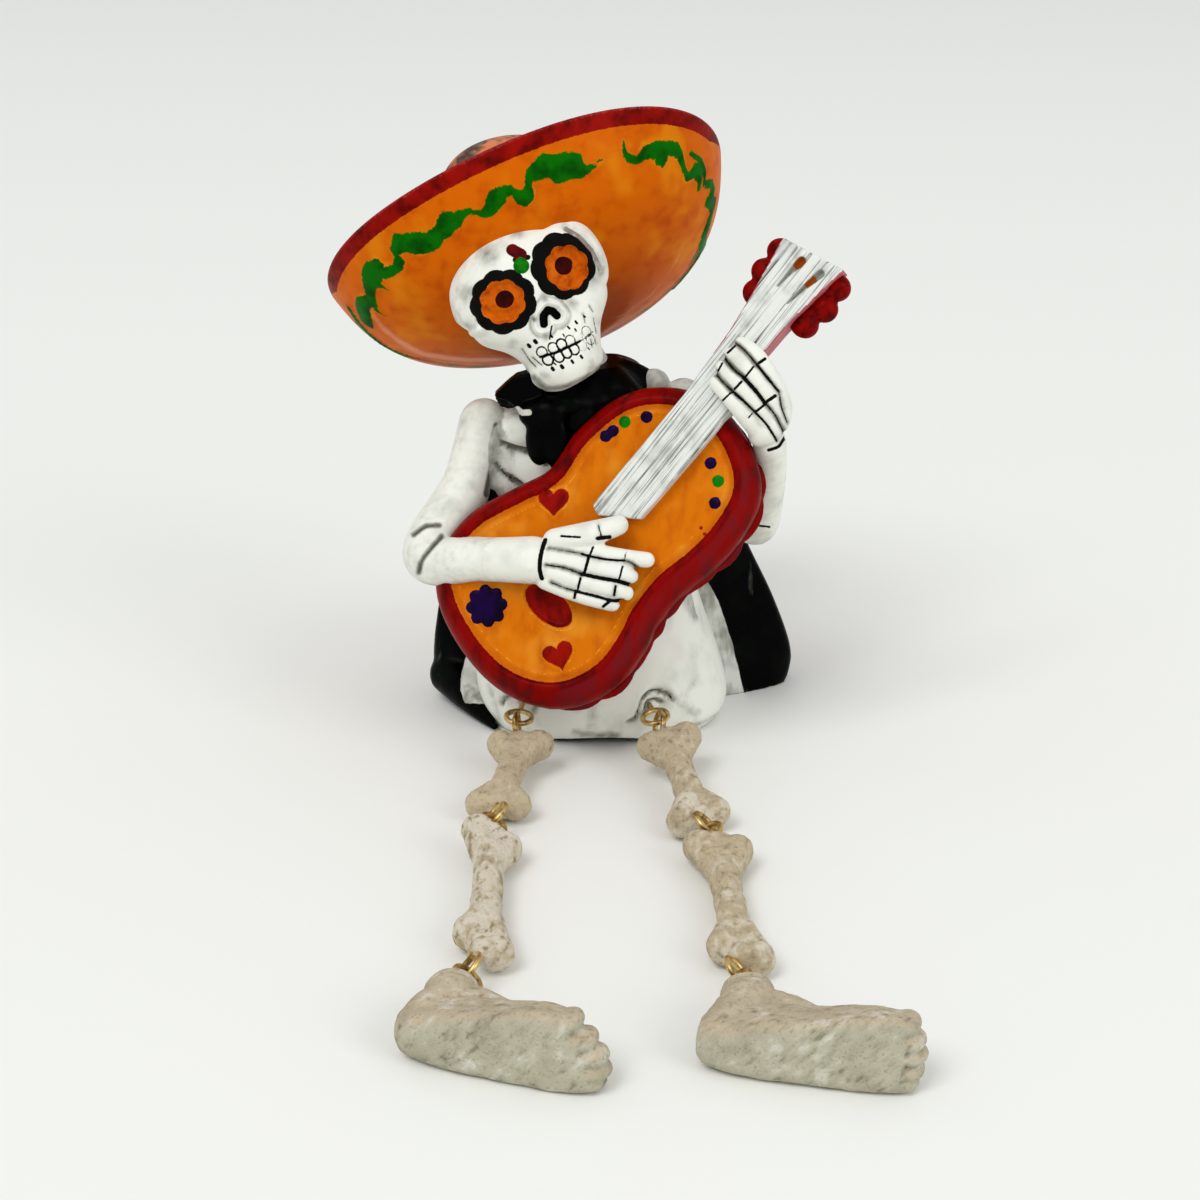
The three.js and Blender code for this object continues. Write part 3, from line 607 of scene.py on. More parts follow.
# Rubbed pale at the raised bottom edge, with painted highlight streaks on the faces towards the front.
note(cape, "worn", np.maximum(
    np.clip(1 - z / 5, 0, 1) * 0.6 * rise, sheen_streak * (out[:, 1] < 0.3) * 0.7,
))
settle(cape, black_enamel("black_enamel", [("bare", LINING_WHITE, LINING_GREY)]))

# Kerchief.
# A black kerchief, cast round the neck with a ruffled lower edge, and tied in front
# in a knot with two short hanging ends.
COLLAR_PLACE, COLLAR_HALF, COLLAR_DEEP, COLLAR_THICK = (-3.6, -2.5, 69.4), 15.8, 12.7, 5.6
COLLAR_RISE, COLLAR_WAVES, COLLAR_WAVE = 0.11, 8, 1.0
KNOT_BALLS = [
    ((-9.5, -15.2, 65.8), (4.2, 3.0, 3.4)),
    ((-12.4, -15.0, 65.6), (3.0, 2.4, 2.6)),
    ((-6.0, -14.4, 67.4), (3.6, 2.4, 2.6)),
    ((-11.4, -16.0, 61.0), (2.7, 2.2, 5.2)),
    ((-8.0, -16.6, 60.4), (2.7, 2.2, 5.4)),
    ((-3.6, -13.8, 63.6), (4.4, 2.8, 4.6)),
]
FLAP_OUTLINE = [
    # across and height of the ragged flap left of the knot
    (-20.2, 68.7), (-17.9, 70.9), (-15.8, 72.7), (-13.2, 73.4), (-11.0, 71.2), (-10.0, 68.0),
    (-12.0, 65.6), (-14.2, 66.8), (-15.6, 66.0), (-17.3, 67.8),
]
FLAP_FRONT, FLAP_BACK = -14.2, -10.4
CHIP_LINE = [(-15.6, -13.6, 66.2), (-14.6, -13.8, 65.6), (-13.4, -14.6, 65.9)]
CHIP_WHITE, CHIP_GREY = (206, 206, 196), (150, 150, 138)
KERCHIEF_GRAIN = 0.42


def slab(name, outline, low, high):
    """A flat plate from an outline, between two heights."""
    bpy.ops.mesh.primitive_circle_add(vertices=len(outline), radius=1, fill_type="NGON")
    plate = bpy.context.object
    plate.name = name
    for vertex, (u, v) in zip(plate.data.vertices, outline):
        vertex.co = (u, v, low)
    bpy.ops.object.mode_set(mode="EDIT")
    bpy.ops.mesh.select_all(action="SELECT")
    bpy.ops.mesh.extrude_region_move(TRANSFORM_OT_translate={"value": (0, 0, high - low)})
    bpy.ops.mesh.select_all(action="SELECT")
    bpy.ops.mesh.normals_make_consistent(inside=False)
    bpy.ops.object.mode_set(mode="OBJECT")
    return plate


def collar_skin(t, angle):
    x, y, z = COLLAR_PLACE
    wave = COLLAR_WAVES * angle
    wide = (1 + 0.06 * math.cos(wave)) * (1 - 0.42 * t * t) * (1 - 0.12 * max(0, math.cos(angle)) ** 2)
    droop = COLLAR_WAVE * math.cos(wave + 1) * (1 - t)
    tilt = COLLAR_RISE * COLLAR_HALF * wide * math.cos(angle)
    return (
        x + COLLAR_HALF * wide * math.cos(angle),
        y + COLLAR_DEEP * wide * math.sin(angle),
        z + COLLAR_THICK * (t - 0.5) + droop + tilt,
    )


def collar_axis(t):
    x, y, z = COLLAR_PLACE
    return x, y, z + COLLAR_THICK * (t - 0.5)


flap = slab("flap", FLAP_OUTLINE, -FLAP_BACK, -FLAP_FRONT)
flap.data.transform(Matrix.Rotation(math.pi / 2, 4, "X"))
kerchief = fuse("kerchief", [
    ringed("kerchief", collar_skin, collar_axis, 160, 30, 8),
    flap,
    *[ball(place, size) for place, size in KNOT_BALLS],
], KERCHIEF_GRAIN, 5)
note(kerchief, "worn", np.clip(1 - hollows(kerchief, 10, 0.3), 0, 1) * 0.25)
note(kerchief, "chip", 0.55 - drawn(surface(kerchief)[0], [CHIP_LINE], 4))
settle(kerchief, black_enamel("kerchief_enamel", [("chip", CHIP_WHITE, CHIP_GREY)]))

# Skull.
# The skull tilts to one side under the hat. White paint, with a black scalloped ring
# and an orange flower in each eye socket, a bud on the brow, and drawn teeth.
HEAD_PLACE = Vector((-13.9, -6.0, 88.1))
HEAD_TIP, HEAD_ROLL, HEAD_TURN = math.radians(-15), math.radians(-29), math.radians(8)
CRANIUM = (14.9, 14.5, 13.5)
FACE = [
    # height, half width, reach to the front, reach to the back, middle
    (-20.0, 4.4, 10.6, -1.0, -0.8),
    (-18.7, 6.3, 12.2, 0.0, -1.0),
    (-16.0, 7.6, 13.2, 0.5, -1.2),
    (-12.6, 8.3, 13.4, 1.5, 0.2),
    (-9.0, 10.9, 13.2, 2.5, 1.3),
    (-4.5, 13.4, 12.8, 4.0, 0.2),
    (2.0, 13.6, 13.2, 5.0, 0.4),
    (8.0, 10.0, 11.5, 5.0, 0.0),
]
SKULL_LUMPS = [
    # place and size of the temple, the brow and the cheekbone
    ((11.1, -6.3, 0.1), (4.1, 6.3, 7.7)),
    ((8.3, -6.9, 3.6), (5.6, 5.2, 4.9)),
    ((-12.4, -5.6, -2.0), (2.0, 4.5, 1.5)),
]
CHEEK_TRIM = 0.17
SKULL_GRAIN = 0.32
EYE_RINGS = [((-6.4, 0.0), 5.75), ((6.4, 0.0), 6.05)]
EYE_FLOWERS = [((-6.5, 0.0), 3.85), ((6.75, -0.7), 4.05)]
PUPILS = [((-6.35, 0.2), 1.75), ((6.85, -0.1), 1.8)]
RING_SCALLOP, RING_LOBES, EYE_FLOWER_SCALLOP, EYE_FLOWER_LOBES = 0.24, 9, 0.2, 8
NOSE_HOLE = [(-2.2, -7.3), (-1.5, -6.0), (-0.35, -5.5), (0.4, -6.2), (0.65, -7.2)]
NOSE_HOLE_HALF, NOSE_RIM = 0.76, 1.5
MOUTH_LINE = [(-5.8, -12.2), (-3.0, -12.9), (-0.5, -13.2), (1.8, -13.4)]
MOUTH_END = [(1.8, -13.4), (3.4, -13.4), (5.0, -13.2)]
TOOTH_ROW = [(-5.6, -12.3), (-3.0, -12.9), (-0.5, -13.2), (1.8, -13.4), (4.6, -13.3)]
TOOTH_COUNT, TOOTH_HALF, TOOTH_TALL = 6, 0.86, 1.02
BUD_RED, BUD_RED_HALF = [(-0.1, 7.1), (0.65, 5.7)], 1.15
BUD_GREEN, BUD_GREEN_HALF = [(-0.38, 3.87)], 1.45
BUD_BAND = [(-0.75, 5.35), (1.5, 4.6)]
TICKS = [
    # across, height, half width
    (-6.4, -9.4, 0.3), (-5.1, -9.3, 0.34), (-2.2, -9.9, 0.2), (1.3, -10.2, 0.22),
    (3.0, -10.1, 0.24), (5.0, -10.0, 0.14), (2.2, -11.2, 0.16), (-0.2, -10.9, 0.16),
    (-5.0, -15.2, 0.3), (-3.4, -15.7, 0.32), (-1.3, -15.9, 0.26), (0.6, -16.0, 0.26),
    (-4.2, -14.6, 0.14), (2.6, -15.4, 0.13), (6.6, -5.4, 0.16),
]
NOSE_DRIP = [(-1.15, -8.4), (-1.9, -9.2), (-2.7, -10.2)]
CHEEK_STROKES = [
    [(5.0, -9.5), (4.6, -11.0)], [(6.5, -11.3), (5.8, -13.9)], [(6.9, -8.8), (7.0, -10.2)],
    [(-7.7, -9.4), (-7.5, -11.6), (-7.2, -13.4)], [(-6.9, -11.6), (-6.3, -13.6)],
    [(3.9, -14.2), (3.6, -15.6)], [(5.0, -14.6), (4.7, -15.6)],
]
TEMPLE_GROOVE = [(10.6, 5.5), (11.9, 2.8), (12.6, -0.5), (12.3, -4.4)]
JAW_LINE = [(-8.2, -15.0), (-7.6, -17.9), (-4.2, -19.4), (1.5, -19.8), (3.6, -19.6)]
SKULL_SMUDGES = [
    # across, height, size, strength
    (0.2, -3.1, 1.7, 0.65), (-3.3, -5.4, 1.0, 0.7), (-3.0, -9.4, 1.4, 0.7), (4.2, -6.8, 1.8, 0.55),
    (-10.8, 4.6, 3.2, 0.6), (-4.4, 8.8, 3.4, 0.6), (2.5, 9.6, 2.6, 0.6), (-13.6, -0.8, 1.8, 0.6),
    (9.6, -5.4, 2.4, 0.4), (-8.6, -7.4, 1.6, 0.5), (7.0, -12.4, 1.6, 0.5), (-6.6, -15.6, 1.6, 0.5),
    (1.5, -18.6, 2.6, 0.5),
]
TEMPLE_BROWN = (136, 122, 112)
FLOWER_ORANGE, FLOWER_DARK = (206, 96, 6), (168, 60, 4)
PUPIL_RED, PUPIL_DARK = (56, 6, 4), (30, 3, 3)
LEAF_GREEN, LEAF_DARK = (12, 118, 8), (6, 84, 4)
BUD_CRIMSON, BUD_DARK = (98, 6, 8), (50, 4, 5)


def petals(spots, place, radius, scallop, count):
    """How far inside a disc with round lobes each spot is."""
    across, up = spots[:, 0] - place[0], spots[:, 1] - place[1]
    lobe = 2 * np.abs(np.cos(count * np.arctan2(up, across) / 2)) - 1
    return radius + scallop * lobe - np.hypot(across, up)


cranium = ball((0, 0, 0), CRANIUM, 72, 48)
for vertex in cranium.data.vertices:
    x, y, z = vertex.co
    vertex.co.x -= CHEEK_TRIM * x * clamp((1 - z) / 6) * clamp(-x / 6)
skull = fuse("skull", [
    cranium,
    sectioned("face", FACE, 0.8, 96, 60, 6),
    *[ball(place, size) for place, size in SKULL_LUMPS],
], SKULL_GRAIN, 8)
bpy.ops.object.mode_set(mode="EDIT")
bpy.ops.mesh.select_all(action="DESELECT")
bpy.ops.object.mode_set(mode="OBJECT")
for face in skull.data.polygons:
    x, y, z = face.center
    face.select = y < -8.5 and -18 < z < 8
bpy.ops.object.mode_set(mode="EDIT")
bpy.ops.mesh.subdivide(number_cuts=1)
bpy.ops.object.mode_set(mode="OBJECT")
spots, out = surface(skull)
flat = spots[:, ::2]
x, y, z = spots.T
front = np.clip(-out[:, 1] * 3, 0, 1) * (y < -4)
ring = np.max([petals(flat, *eye, RING_SCALLOP, RING_LOBES) for eye in EYE_RINGS], 0)
flower = np.max([
    petals(flat, *eye, EYE_FLOWER_SCALLOP, EYE_FLOWER_LOBES) for eye in EYE_FLOWERS
], 0)
pupil = np.max([petals(flat, *eye, 0, 1) for eye in PUPILS], 0)
hole_gap = distance(flat, NOSE_HOLE)
mouth_gap = distance(flat, MOUTH_LINE)
mouth_end_gap = distance(flat, MOUTH_END)
bud_red = BUD_RED_HALF - distance(flat, BUD_RED)
bud_green = BUD_GREEN_HALF - distance(flat, BUD_GREEN)
teeth = np.full(len(spots), -9.0)
tooth_swell = np.zeros(len(spots))
rng = np.random.default_rng(4)
for k in range(TOOTH_COUNT):
    for up in (-1, 1):
        at = through(TOOTH_ROW, (k + 0.5) / TOOTH_COUNT) + rng.uniform(-0.12, 0.12, 2)
        side = (x - at[0]) / TOOTH_HALF
        rise = (z - at[1] - up * TOOTH_TALL * 0.85) / TOOTH_TALL
        round_gap = (np.hypot(side, rise) - 1) * TOOTH_HALF
        half = rng.uniform(0.09, 0.17) - (0.09 if k > 3 else 0)
        teeth = np.maximum(teeth, half - np.abs(round_gap))
        tooth_swell = np.maximum(tooth_swell, np.clip(-round_gap / 0.5, 0, 1))
ticks = np.max([
    half - distance(flat, [(at, up + 0.22), (at + 0.08, up - 0.22)]) for at, up, half in TICKS
], 0)
cheek_gap = distance(flat, *CHEEK_STROKES)
drip_gap = distance(flat, NOSE_DRIP)
temple_gap = distance(flat, TEMPLE_GROOVE)
lift = (
    np.clip(ring / 0.4, 0, 1) * 0.25
    - np.clip(flower / 0.5, 0, 1) * 1.0
    - np.clip(pupil / 0.3, 0, 1) * 0.35
    + soft(hole_gap - NOSE_RIM, 0.55) * 0.85
    - np.clip((NOSE_HOLE_HALF - hole_gap) / 0.3, 0, 1) * 1.0
    - soft(mouth_gap, 0.28) * 0.45
    + tooth_swell * 0.14
    + np.clip(np.maximum(bud_red, bud_green) / 0.5, 0, 1) * 0.35
    - soft(cheek_gap, 0.35) * 0.2
)
lift = lift * front - soft(temple_gap, 1.1) * 0.4 * (y < 0)
shift(skull, spots + out * lift[:, None])
hidden = np.where(front > 0.2, 0.0, -9.0)
black = np.max([
    np.where(flower > 0, -flower, ring),
    NOSE_HOLE_HALF - hole_gap,
    0.24 - mouth_gap,
    0.09 - mouth_end_gap,
    teeth,
    ticks,
    0.07 - cheek_gap,
    0.16 - drip_gap,
    0.5 - distance(flat, BUD_BAND),
], 0)
for coat, cover in (
    ("ink", black), ("orange", flower), ("pupil", pupil), ("red", bud_red), ("green", bud_green),
):
    note(skull, coat, cover + hidden)
note(skull, "temple", np.where(y < 0, 0.5 - temple_gap, -3))
smudges = [([(at, up)], size, strength) for at, up, size, strength in SKULL_SMUDGES]
# Wash in hollows, smudges and strokes, painted shadow round the raised nose rim, and darker at the
# temple groove, along the jaw, at the sides, at the top and below the chin.
note(skull, "wash", np.clip(np.max([
    hollows(skull, 20, 0.4) * 0.8,
    smudged(flat, smudges) * (y < -3),
    soft(cheek_gap, 0.7) * 0.45 * front,
    # painted shadow round the raised nose rim
    soft(hole_gap - NOSE_RIM - 0.95, 0.6) * 0.6 * front,
    soft(temple_gap, 2.0) * 0.55 * (y < 0),
    soft(distance(flat, JAW_LINE), 1.0) * 0.75,
    np.clip((np.abs(x) - 11) / 4, 0, 1) * 0.4,
    np.clip((z - 4) / 5, 0, 1) * 0.28,
    np.clip((-17.5 - z) / 3, 0, 1) * 0.6,
], 0), 0, 1))
head_turn = (
    Matrix.Rotation(HEAD_TURN, 4, "Z")
    @ Matrix.Rotation(HEAD_TIP, 4, "X")
    @ Matrix.Rotation(HEAD_ROLL, 4, "Y")
)
skull.data.transform(Matrix.Translation(HEAD_PLACE) @ head_turn)
settle(skull, white_paint("skull_paint", [
    ("temple", TEMPLE_BROWN, BONE_SHADE),
    ("orange", FLOWER_ORANGE, FLOWER_DARK),
    ("pupil", PUPIL_RED, PUPIL_DARK),
    ("red", BUD_CRIMSON, BUD_DARK),
    ("green", LEAF_GREEN, LEAF_DARK),
]))

# Sombrero.
# A wide brim that curls up at its rim, cast on the head, orange underneath with a
# green vine near the edge and a dark red band on the lip, and a rubbed brown crown.
# Painted highlights lie on the curl of the underside, along the lip and beside the vine.
HAT_PLACE = Vector((-6.2, 4.0, 74.6))
HAT_TIP, HAT_LEAN = math.radians(37.9), math.radians(18.4)
BRIM_RADIUS, BRIM_RISE, BRIM_CURL, BRIM_CURL_POWER = 39.3, 13.1, 13.15, 9
BRIM_FLAT, BRIM_THICK = 14.0, 2.3
BRIM_OVAL, BRIM_OVAL_TURN = 0.052, math.radians(-8)
BRIM_WARP, BRIM_WARP_TURN = 1.3, math.radians(-13.5)
BRIM_LIP, BAND_WIDTH, TOP_BAND_FROM = 0.3, 0.95, 34.5
SKULL_IN_BRIM = 1.3
VINE_UNROLLED_RADIUS = 36
VINES = [
    # each leaf or stalk as places: radius, degrees round the brim, half width
    [(34.6, 193.6, 1.0), (35.2, 200, 1.1), (35.6, 204.5, 0.9), (34.9, 209.7, 0.8),
     (35.7, 212.8, 0.8), (36.3, 216.7, 1.0), (36.4, 220.5, 1.1), (36.6, 225.1, 0.6)],
    [(35.9, 222.6, 0.7), (35.5, 225.1, 0.6), (35.3, 229.6, 0.6), (35.8, 232.5, 0.7),
     (36.6, 232.3, 0.5), (36.9, 236.4, 0.9), (36.3, 238.6, 1.1), (35.8, 242.6, 1.2),
     (35.4, 246, 1.0), (35.7, 249.4, 0.8), (35.9, 251.5, 1.0), (36.2, 254.5, 1.0),
     (36, 256.6, 0.8), (36.3, 259.5, 0.4), (36.1, 262.2, 0.3), (35.6, 264, 0.3),
     (35.3, 265.6, 0.5), (35.5, 267.6, 0.8), (36, 270.1, 1.0), (36.2, 272.5, 0.8),
     (36.4, 274.5, 0.5), (36.2, 276.3, 0.5), (35.4, 277.1, 0.8), (35, 278.9, 0.9),
     (35.4, 281.2, 0.8), (36.2, 281.2, 0.5), (36.8, 282.6, 0.6), (36.9, 285.2, 0.8),
     (37, 288.4, 1.0), (36.4, 290.4, 1.2), (36.4, 293, 1.2), (36.4, 295.5, 1.1),
     (36.7, 298.4, 0.5)],
    [(36, 295.3, 0.8), (35.7, 297.7, 0.7), (35.7, 300.4, 0.4), (36, 303.2, 0.2), (36.3, 305.5, 0.1)],
    [(34.9, 209.7, 0.6), (33.7, 205.9, 0.4), (32.3, 206.3, 0.1)],
    [(35.7, 217, 0.6), (34.9, 219, 0.3), (34, 219.4, 0.1)],
    [(37.2, 312.5, 0.3), (36.6, 312.3, 0.4), (35.9, 313.7, 0.45), (35.7, 317, 0.4),
     (36.3, 319.5, 0.6), (36.5, 323.9, 0.75), (36.7, 328.5, 0.6), (36.6, 332.5, 0.7),
     (36, 334.3, 0.7), (35.2, 335.9, 0.5), (34.4, 338.5, 0.5), (35.4, 342.2, 0.8),
     (35.1, 345.6, 0.9), (34, 346.4, 0.6)],
    [(36.7, 338.1, 0.25), (36.4, 345, 0.35), (35.7, 348.2, 0.45), (34.8, 348.7, 0.4)],
    [(35.6, 324, 0.4), (35.4, 326.4, 0.5), (36, 328.1, 0.3)],
    [(34.7, 349.9, 0.5), (35.4, 355.2, 0.5), (35, 358.1, 0.6), (33.5, 355.5, 0.8),
     (34.1, 362.8, 1.0), (32.7, 364.4, 1.1), (31.5, 367.6, 1.3), (30.7, 372.9, 1.2),
     (31.6, 382.2, 1.0), (30, 391, 0.8), (28.8, 400.7, 0.6)],
    [(37.0, 194, 0.4), (35.6, 187, 0.8), (33.6, 180, 0.8), (31.4, 175, 0.6), (28.6, 170, 0.3)],
]
CROWN_ACROSS, CROWN_SHIFT, CROWN_FOOT, CROWN_TOP = -1.0, -6.0, 6.8, 41.6
CROWN_FOOT_RADIUS, CROWN_TOP_RADIUS, CROWN_DOME, CROWN_SIDE = 14.5, 12.2, 6.5, 0.6
SHEENS = [
    # each painted highlight as places: radius, degrees round the brim, half width
    [(34.5, 204, 0.4), (32.1, 196.3, 1.5), (26.9, 179.4, 2.3), (20.9, 165, 2.6), (17.2, 155, 2.8)],
    [(34.0, 338, 0.0), (29.2, 352.4, 0.5), (24.1, 7.8, 0.9), (19.5, 28.2, 1.1), (12.7, 41, 1.0)],
]
RIM_WEAR = [
    [(36, 184, 1.2), (32.2, 174.9, 1.4), (27.1, 165.2, 1.6), (24.6, 149.3, 1.8), (21.9, 132, 1.8)],
    [(33, 6, 1.2), (30.1, 17.5, 1.5), (29.2, 29, 1.6), (25.4, 47, 1.8), (19.8, 72, 1.8)],
]
HAT_ORANGE, HAT_RUST, HAT_AMBER = (206, 96, 3), (172, 62, 2), (222, 132, 14)
HAT_DEEP, HAT_SHEEN = (158, 54, 2), (226, 150, 118)
VINE_GREEN, VINE_DARK = (8, 98, 3), (4, 66, 2)
BAND_RED, BAND_DARK = (144, 14, 7), (78, 5, 3)
LIP_HIGHLIGHT_PINK, LIP_HIGHLIGHT_ROSE = (206, 110, 112), (150, 40, 48)
CROWN_BROWN, CROWN_GREY, CROWN_SALMON = (84, 64, 56), (118, 98, 86), (214, 130, 92)
TOP_ORANGE = (176, 88, 34)


def brim_height(radius):
    t = np.maximum(radius, BRIM_FLAT) / BRIM_RADIUS
    return BRIM_RISE * t + BRIM_CURL * t ** BRIM_CURL_POWER


def brim_oval(angle):
    return 1 + BRIM_OVAL * np.cos(2 * (angle - BRIM_OVAL_TURN))


def brim_warp(radius, angle):
    return BRIM_WARP * (radius / BRIM_RADIUS) ** 2 * np.cos(2 * (angle - BRIM_WARP_TURN))


def brim_skin(t, angle):
    out_share = 1 - abs(2 * t - 1)
    radius = BRIM_RADIUS * math.sin(out_share * math.pi / 2)
    height = brim_height(radius) + BRIM_LIP * max(0, out_share - 0.97) / 0.03
    if t > 0.5:
        slope = (brim_height(radius + 0.01) - brim_height(radius)) / 0.01
        full = BRIM_THICK * min(1, (1 - out_share) * 14) ** 0.5
        lean = math.hypot(1, slope)
        radius -= full * slope / lean * clamp((radius - 20) / 10)
        height += full / lean
    across = radius * brim_oval(angle)
    return across * math.cos(angle), across * math.sin(angle), height + brim_warp(radius, angle)


def brim_axis(t):
    return brim_skin(0 if t < 0.5 else 1, 0)


def swelling(spots, *lines):
    """How far inside lines of changing half width each spot is, below 0 outside."""
    inner = np.full(len(spots), -9.0)
    for line in lines:
        for a, b in zip(line, line[1:]):
            a, b = np.array(a, float), np.array(b, float)
            way = b[:2] - a[:2]
            along = np.clip(((spots - a[:2]) @ way) / max(way @ way, 1e-9), 0, 1)
            gap = np.linalg.norm(spots - a[:2] - along[:, None] * way, axis=1)
            inner = np.maximum(inner, a[2] + (b[2] - a[2]) * along - gap)
    return inner


def unrolled(lines):
    """Lines of radius, degrees and half width, on the brim rolled out flat."""
    return [[(math.radians(a) * VINE_UNROLLED_RADIUS, r, half) for r, a, half in k] for k in lines]


def from_above(lines):
    """The same, on the brim seen along its axis."""
    return [
        [(r * math.cos(math.radians(a)), r * math.sin(math.radians(a)), half) for r, a, half in k]
        for k in lines
    ]


hat_axis = Vector((
    -math.sin(HAT_LEAN),
    math.sin(HAT_TIP) * math.cos(HAT_LEAN),
    math.cos(HAT_TIP) * math.cos(HAT_LEAN),
))
hat_across = Vector((0, 1, 0)).cross(hat_axis).normalized()
hat_back = hat_axis.cross(hat_across)
hat_turn = Matrix((hat_across, hat_back, hat_axis)).transposed().to_4x4()
hat_place = Matrix.Translation(HAT_PLACE) @ hat_turn

brim = ringed("sombrero_brim", brim_skin, brim_axis, 440, 120, 1)
spots, out = surface(brim)
turned = np.arctan2(spots[:, 1], spots[:, 0]) % (2 * math.pi)
angle = np.degrees(turned)
radius = np.hypot(spots[:, 0], spots[:, 1]) / brim_oval(turned)
under = np.abs(spots[:, 2] - brim_warp(radius, turned) - brim_height(radius)) < 0.35
around = np.where(angle < 140, angle + 360, angle)
rolled_out = np.stack([np.radians(around) * VINE_UNROLLED_RADIUS, radius], 1)
vine = np.where(under, swelling(rolled_out, *unrolled(VINES)), -3.0)
flat = np.stack([radius * np.cos(turned), radius * np.sin(turned)], 1)
gleam = swelling(flat, *from_above(SHEENS))
worn_rim = swelling(flat, *from_above(RIM_WEAR))
low_side = np.clip(np.minimum(around - 350, 545 - around) / 12, 0, 1)
low_side = np.maximum(low_side, np.clip((196 - angle) / 8, 0, 1) * (angle > 120))
relief = np.clip(vine / 0.25, 0, 1) * 0.28 - soft(vine + 0.25, 0.2) * 0.1
shift(brim, spots + out * relief[:, None])
bits = np.sin(turned * 23) + np.sin(turned * 37 + 1)
for key, values in {
    "vine": vine,
    "band": np.where(
        under, radius - (BRIM_RADIUS - BAND_WIDTH + 0.75 * low_side), radius - TOP_BAND_FROM,
    ),
    # a painted pink highlight along the very edge of the lip
    "lip": np.where(under, radius - BRIM_RADIUS + 0.06, -0.9 + soft(radius - 38.9, 0.3)),
    "shade": np.clip(1 - radius / 25, 0, 1) * under,
    "sheen": np.clip(gleam / 2.8 + 0.3, 0, 1) * under,
    "bits": np.where((worn_rim > 0) & under, bits * 0.6 - 0.25, -1.0),
    "worn_rim": np.clip(worn_rim / 0.5, 0, 1) * under,
    "top": ~under,
}.items():
    note(brim, key, values)

hat_paint = Finish("sombrero_paint", 0.35, 0.02)
strokes = hat_paint.cloud(3.5, 4.0, (1, 3, 1))
blots = hat_paint.cloud(9.0, 2.0)
fine = hat_paint.cloud(0.6, 3.0)
ragged = (fine - 0.5) * 0.3
sheen = (hat_paint.noted("sheen") + (strokes - 0.5) * 0.8).above(0.35, 1.0)
rim_wear = (hat_paint.noted("worn_rim") + (strokes - 0.5)).above(0.3, 0.8)
# Painted amber glint along the raised edges of the vine.
vine_glint = (hat_paint.noted("vine") + 0.2 + (strokes - 0.5) * 2.5).above(0.0, 0.3)
hat_top = hat_paint.over(
    TOP_ORANGE,
    (CROWN_BROWN, blots.above(0.42, 0.75) * 0.7),
    (CROWN_GREY, strokes.above(0.5, 0.85) * 0.5),
)
leaf = hat_paint.over(VINE_GREEN, (VINE_DARK, strokes.above(0.4, 0.7)))
band = hat_paint.over(BAND_RED, (BAND_DARK, strokes.above(0.35, 0.75)))
ground = hat_paint.over(
    HAT_ORANGE,
    (HAT_RUST, strokes.above(0.42, 0.78) * 0.7),
    (HAT_AMBER, blots.above(0.48, 0.72) * 0.6),
    (HAT_DEEP, hat_paint.noted("shade").above(0.0, 0.6) * 0.8),
    (HAT_SHEEN, sheen * 0.8),
    (HAT_DEEP, rim_wear * 0.8),
    (hat_top, hat_paint.noted("top")),
    (HAT_AMBER, vine_glint * blots.above(0.42, 0.6) * 0.5),
    (leaf, (hat_paint.noted("vine") + ragged * 1.6).above(-0.05, 0.07)),
    (band, (hat_paint.noted("band") + ragged * 0.5).above(-0.03, 0.03)),
    (VINE_GREEN, (hat_paint.noted("bits") + ragged).above(-0.05, 0.1) * 0.8),
    # Painted pink highlight along the lip.
    (hat_paint.over(LIP_HIGHLIGHT_PINK, (LIP_HIGHLIGHT_ROSE, blots)), (hat_paint.noted("lip") + ragged).above(-0.05, 0.3)),
)
hat_paint.paint(
    Base_Color=ground,
    Roughness=0.28 + strokes * 0.2,
    Normal=hat_paint.bumps(strokes * 0.5 + fine * 0.3, 0.12),
)
brim.data.transform(hat_place)
settle(brim, hat_paint.material)

# The top of the skull is held under the top of the brim.
into_hat = np.array(hat_place.inverted())
spots = surface(skull)[0] / MM
hat_spots = spots @ into_hat[:3, :3].T + into_hat[:3, 3]
top = brim_height(np.hypot(hat_spots[:, 0], hat_spots[:, 1])) + SKULL_IN_BRIM
shift(skull, (spots - np.outer(np.clip(hat_spots[:, 2] - top, 0, None), hat_axis)) * MM)


def crown_skin(t, angle):
    if t < CROWN_SIDE:
        share = t / CROWN_SIDE
        radius = CROWN_FOOT_RADIUS + (CROWN_TOP_RADIUS - CROWN_FOOT_RADIUS) * share ** 0.7
        height = CROWN_FOOT + (CROWN_TOP - CROWN_DOME - CROWN_FOOT) * share
    else:
        turn = (t - CROWN_SIDE) / (1 - CROWN_SIDE) * math.pi / 2
        radius = CROWN_TOP_RADIUS * math.cos(turn)
        height = CROWN_TOP - CROWN_DOME + CROWN_DOME * math.sin(turn)
    radius *= 1 + 0.03 * math.cos(3 * angle)
    return CROWN_ACROSS + radius * math.cos(angle), CROWN_SHIFT + radius * math.sin(angle), height


def crown_axis(t):
    return CROWN_ACROSS, CROWN_SHIFT, crown_skin(t, 0)[2]


crown = ringed("sombrero_crown", crown_skin, crown_axis, 96, 60, 1)
crown_paint = Finish("crown_paint", 0.5)
blots = crown_paint.cloud(7.0, 3.0)
streaks = crown_paint.cloud(1.5, 4.0)
ground = crown_paint.over(
    CROWN_BROWN,
    (CROWN_GREY, streaks.above(0.4, 0.65)),
    (CROWN_SALMON, (blots + streaks * 0.3).above(0.56, 0.76)),
)
crown_paint.paint(
    Base_Color=ground,
    Roughness=0.4 + streaks * 0.2,
    Normal=crown_paint.bumps(streaks, 0.1),
)
crown.data.transform(hat_place)
settle(crown, crown_paint.material)

